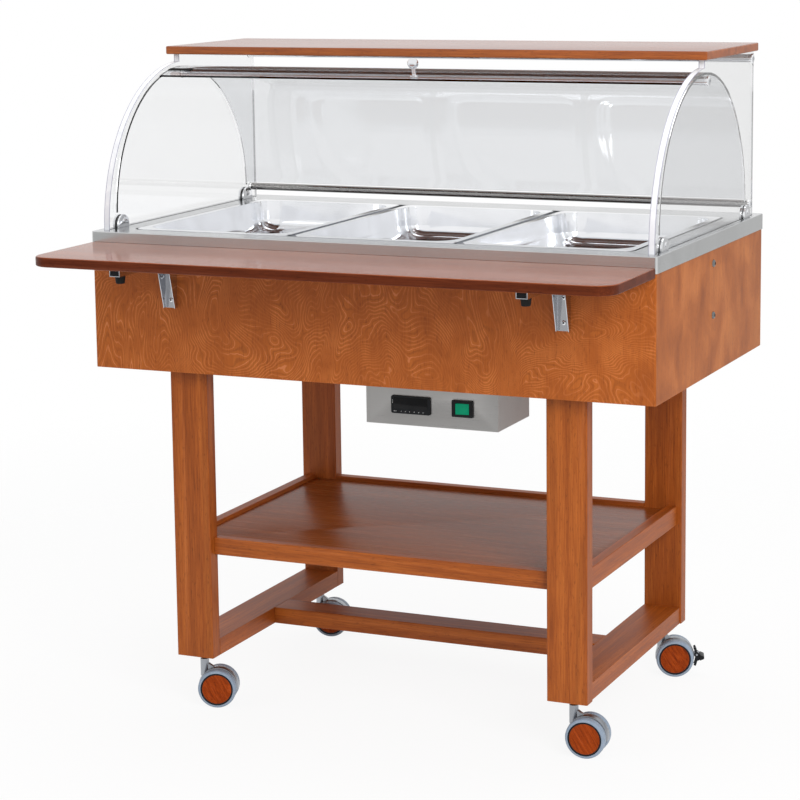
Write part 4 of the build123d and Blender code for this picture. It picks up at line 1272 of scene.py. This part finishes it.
@dataclass
class Casters(Assembly):
    """Four twin-wheel casters."""

    hood_radius: float = 0.039
    hood_half: float = 0.009
    hood_foot: float = 0.032
    hood_round: float = 0.0026
    hood_shoulder: float = 0.3
    hood_steps: int = 72
    # A black core between the wheels: painted shade
    shade_core_radius: float = 0.031
    shade_core_half: float = 0.0085
    boss_radius: float = 0.0085
    boss_heights: Pair = (0.0576, 0.0946)
    boss_round: float = 0.0014
    boss_bore: float = 0.0052
    # X and Z of the web's corners
    web: tuple[Pair, ...] = (
        (0.0, 0.0600), (0.0, 0.0890), (0.0188, 0.0765), (0.0270, 0.0375),
    )
    web_half: float = 0.0045
    # Half the lug's length behind the brake's pin, its width and its height
    lug_half: Point = (0.0085, 0.0040, 0.0050)
    # X and Z of the brake's pin
    pin: Pair = (0.0713, 0.0421)
    pin_radius: float = 0.0020
    pin_half: float = 0.0090
    pin_steps: int = 24
    lever_edge: float = 0.0010
    stem_x: float = 0.384
    stem_y: Pair = (-0.144, 0.374)
    turns: dict[str, float] = field(default_factory=lambda: {
        "front_left": 18.0, "front_right": 4.0, "rear_left": 13.0, "rear_right": 19.0,
    })
    trail: float = 0.027
    radius: float = 0.0375
    reach: float = 0.0181
    # Radius and height of each point of a wheel's outline
    tread: tuple[Pair, ...] = (
        (0.0, 0.0035), (0.00405, 0.0035), (0.00405, -0.0085), (0.0375, -0.0085), (0.0375, 0.0085),
        (0.0321, 0.0085), (0.0317, 0.0072), (0.0291, 0.0072), (0.0287, 0.0079), (0.0140, 0.0084),
        (0.0, 0.0085),
    )
    tread_round: float = 0.0042
    tread_segments: int = 5
    tread_slack: float = 0.00001
    wheel_steps: int = 64
    # The dark ring between disc and tyre
    ring: Pair = (0.0288, 0.0320)
    ring_height: float = 0.0068

    def build(self) -> None:
        """Turns the wheels and hoods and softens the brakes."""
        self.solids.soften(BLACK, self.lever_edge, "brake_lever_rear_left", "brake_lever_rear_right")
        self.solids.dress(BLACK, "caster_stems")
        for corner in self.turns:
            self._hood(corner)
            for side, sign in zip(("near", "far"), SIDES):
                self._wheel(corner, side, sign)

    def _spot(self, corner: str) -> Matrix:
        """Finds the place and turn of one caster.

        Args:
            corner: Which caster it is.

        Returns:
            The matrix that puts it there.
        """
        x = self.stem_x if corner.endswith("right") else -self.stem_x
        y = self.stem_y[0] if corner.startswith("front") else self.stem_y[1]
        turn = Matrix.Rotation(math.radians(self.turns[corner]), 4, "Z")
        return Matrix.Translation((x, y, 0)) @ turn

    def _hood(self, corner: str) -> None:
        """Makes one hood: a drum cut off above the axle, a thin web, the boss and a black core that
        is painted shade between the wheels.

        Args:
            corner: Which caster it is on.
        """
        hub = placed((self.trail, 0, self.radius), "X")
        radius, half, painted_edge = self.hood_radius, self.hood_half, self.hood_round
        shoulder = painted_edge * self.hood_shoulder
        lower = [
            (0.0, -half),
            (radius - painted_edge, -half),
            (radius - shoulder, -half + shoulder),
            (radius, -half + painted_edge),
        ]
        upper = [(out, -up) for out, up in reversed(lower)]
        hood = Shape().lathe(lower + upper, self.hood_steps)
        hood.move(hub).cut_below(self.hood_foot)
        low, high = self.boss_heights
        boss, turn = self.boss_radius, self.boss_round
        hood.join(Shape().lathe([
            (0.0, low), (boss - turn, low), (boss, low + turn), (boss, high - turn),
            (boss - turn, high), (self.boss_bore, high), (self.boss_bore, low + turn),
            (0.0, low + turn),
        ]))
        hood.join(Shape().slab(self.web, self.web_half).round_edges(self.boss_round / 2))
        # The black core: painted shade between the wheels
        hood.join(Shape().drum(self.shade_core_radius, self.shade_core_half).tint(1).move(hub))
        if corner.startswith("rear"):
            hood.join(self._lug())
        hood.move(self._spot(corner))
        self.solids.stand_in("caster_hood_" + corner, hood, HOOD, BLACK)

    def _lug(self) -> Shape:
        """Makes the lug and pin that carry a foot brake.

        Returns:
            Both as one shape.
        """
        x, z = self.pin
        long, wide, tall = self.lug_half
        lug = Shape().block((x - 2 * long, -wide, z - tall), (x + tall, wide, z + tall))
        lug.round_edges(self.boss_round)
        rod = Shape().drum(self.pin_radius, self.pin_half, self.pin_steps)
        return lug.join(rod.move(placed((x, 0, z), "X")))

    def _wheel(self, corner: str, side: str, sign: int) -> None:
        """Turns one wheel with its tyre, dark ring and wooden disc.

        Args:
            corner: Which caster it is on.
            side: Which side of the hood it is on.
            sign: That side, as a sign.
        """
        wheel = Shape().lathe(self.tread, self.wheel_steps)
        rim = [
            painted_edge for painted_edge in wheel.bm.edges
            if all(abs(v.co.xy.length - self.radius) < self.tread_slack for v in painted_edge.verts)
            and abs(painted_edge.verts[0].co.z - painted_edge.verts[1].co.z) < MERGE
        ]
        wheel.bevel(rim, self.tread_round, self.tread_segments)
        wheel.paint([(1, *self.ring), (2, 0.0, self.ring[0])], self.ring_height)
        place = placed((self.trail, sign * self.reach, self.radius), "X", -sign)
        wheel.move(self._spot(corner) @ place)
        self.solids.stand_in(f"wheel_{corner}_{side}", wheel, TYRE, BLACK, DISC_WOOD)


# The studio
def sheet(name: str, finish: Finish, size: Pair, place: Matrix) -> bpy.types.Object:
    """Puts a flat sheet into the scene.

    Args:
        name: The sheet's name.
        finish: Its finish.
        size: Its width and height.
        place: What moves it from the XY plane to its place.

    Returns:
        The sheet.
    """
    bm = bmesh.new()
    bmesh.ops.create_grid(bm, x_segments=1, y_segments=1, size=HALF)
    bmesh.ops.scale(bm, vec=(*size, 1.0), verts=bm.verts)
    bmesh.ops.transform(bm, matrix=place, verts=bm.verts)
    mesh = bpy.data.meshes.new(name)
    bm.to_mesh(mesh)
    bm.free()
    mesh.materials.append(finish.material())
    return stand(name, mesh)


@dataclass(frozen=True)
class Screen:
    """An upright card that only mirrored and refracted rays meet."""

    name: str
    finish: Card
    spot: Point
    facing: Point
    size: Pair

    def put_up(self) -> None:
        """Stands the card in its place."""
        turn = Vector(self.facing).to_track_quat("Z", "Y").to_matrix().to_4x4()
        card = sheet(self.name, self.finish, self.size, Matrix.Translation(self.spot) @ turn)
        card.visible_camera = False
        card.visible_diffuse = False
        card.visible_shadow = False


@dataclass(frozen=True)
class Lamp:
    """A soft square lamp that metal and clear sheet don't mirror."""

    name: str
    spot: Point
    aim: Point
    size: float
    watts: float

    def put_up(self) -> None:
        """Hangs the lamp in its place."""
        data = bpy.data.lights.new(self.name, "AREA")
        data.shape = "SQUARE"
        data.size = self.size
        data.energy = self.watts
        lamp = stand(self.name, data)
        lamp.visible_glossy = False
        lamp.location = self.spot
        ahead = Vector(self.aim) - Vector(self.spot)
        lamp.rotation_euler = ahead.to_track_quat("-Z", "Y").to_euler()


@dataclass
class Studio:
    """A pale floor, a white surround, mirrored cards, soft lamps and the camera."""

    eye: Point = (1.8434, -4.1591, 1.5046)
    azimuth: float = 24.129
    elevation: float = 8.779
    roll: float = -0.711
    focal: float = 2415.86
    frame: float = 800.0
    rise: float = -0.125
    floor_size: Pair = (8.0, 8.0)
    sky: float = 0.5
    screens: tuple[Screen, ...] = (
        Screen("front_card", FRONT_CARD, (-1.0, -1.9, 0.51), (0.0, 1.0, 0.0), (5.0, 1.04)),
        Screen("side_card", SIDE_CARD, (1.9, 2.6, 0.7), (-0.4, -0.9, 0.0), (3.0, 1.6)),
    )
    lamps: tuple[Lamp, ...] = (
        Lamp("key", (3.2, -3.0, 2.8), (0.0, 0.0, 0.7), size=2.4, watts=152.0),
        Lamp("fill", (-3.4, -2.8, 2.2), (0.0, 0.0, 0.7), size=2.4, watts=18.0),
        Lamp("top", (0.0, 0.4, 4.0), (0.0, 0.1, 0.8), size=3.0, watts=60.0),
    )

    def build(self) -> None:
        """Makes the floor, world, cards, lamps and camera."""
        floor = sheet("floor", FLOOR, self.floor_size, Matrix.Identity(4))
        self._world()
        for item in (*self.screens, *self.lamps):
            item.put_up()
        self._camera()

    def _world(self) -> None:
        """Makes a plain surround that shows white and lights more softly."""
        world = bpy.data.worlds.new("studio")
        bpy.context.scene.world = world
        graph = Graph(world)
        level = graph.seen() * (1.0 - self.sky) + self.sky
        back = graph.value("ShaderNodeBackground", None, {"Color": WHITE, "Strength": level})
        graph.node("ShaderNodeOutputWorld", None, {"Surface": back})

    def _camera(self) -> None:
        """Sets the camera at the photograph's angle."""
        az, el, roll = (math.radians(v) for v in (self.azimuth, self.elevation, self.roll))
        ahead = Vector((-math.sin(az) * math.cos(el), math.cos(az) * math.cos(el), -math.sin(el)))
        level = Vector((math.cos(az), math.sin(az), 0.0))
        up = level.cross(ahead)
        right = math.cos(roll) * level + math.sin(roll) * up
        top = -math.sin(roll) * level + math.cos(roll) * up
        data = bpy.data.cameras.new("camera")
        data.lens = self.focal / self.frame * data.sensor_width
        data.shift_y = self.rise
        camera = stand("camera", data)
        turn = Matrix((right, top, -ahead)).transposed().to_4x4()
        camera.matrix_world = Matrix.Translation(self.eye) @ turn
        bpy.context.scene.camera = camera


def clear_scene() -> None:
    """Empties Blender's starting scene and sets the plain view."""
    for item in list(bpy.data.objects):
        bpy.data.objects.remove(item)
    bpy.context.scene.view_settings.view_transform = "Standard"


def main() -> None:
    """Builds every sub-assembly in order."""
    logging.basicConfig(level=logging.INFO, format="%(name)s: %(message)s")
    clear_scene()
    solids = Solids()
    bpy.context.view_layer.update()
    for assembly in (BaseFrame, Casing, Deck, Dome, Tray, Controls, Casters):
        LOG.info("building %s", assembly.__name__)
        assembly(solids).build()
    Studio().build()


if __name__ == "__main__":
    main()
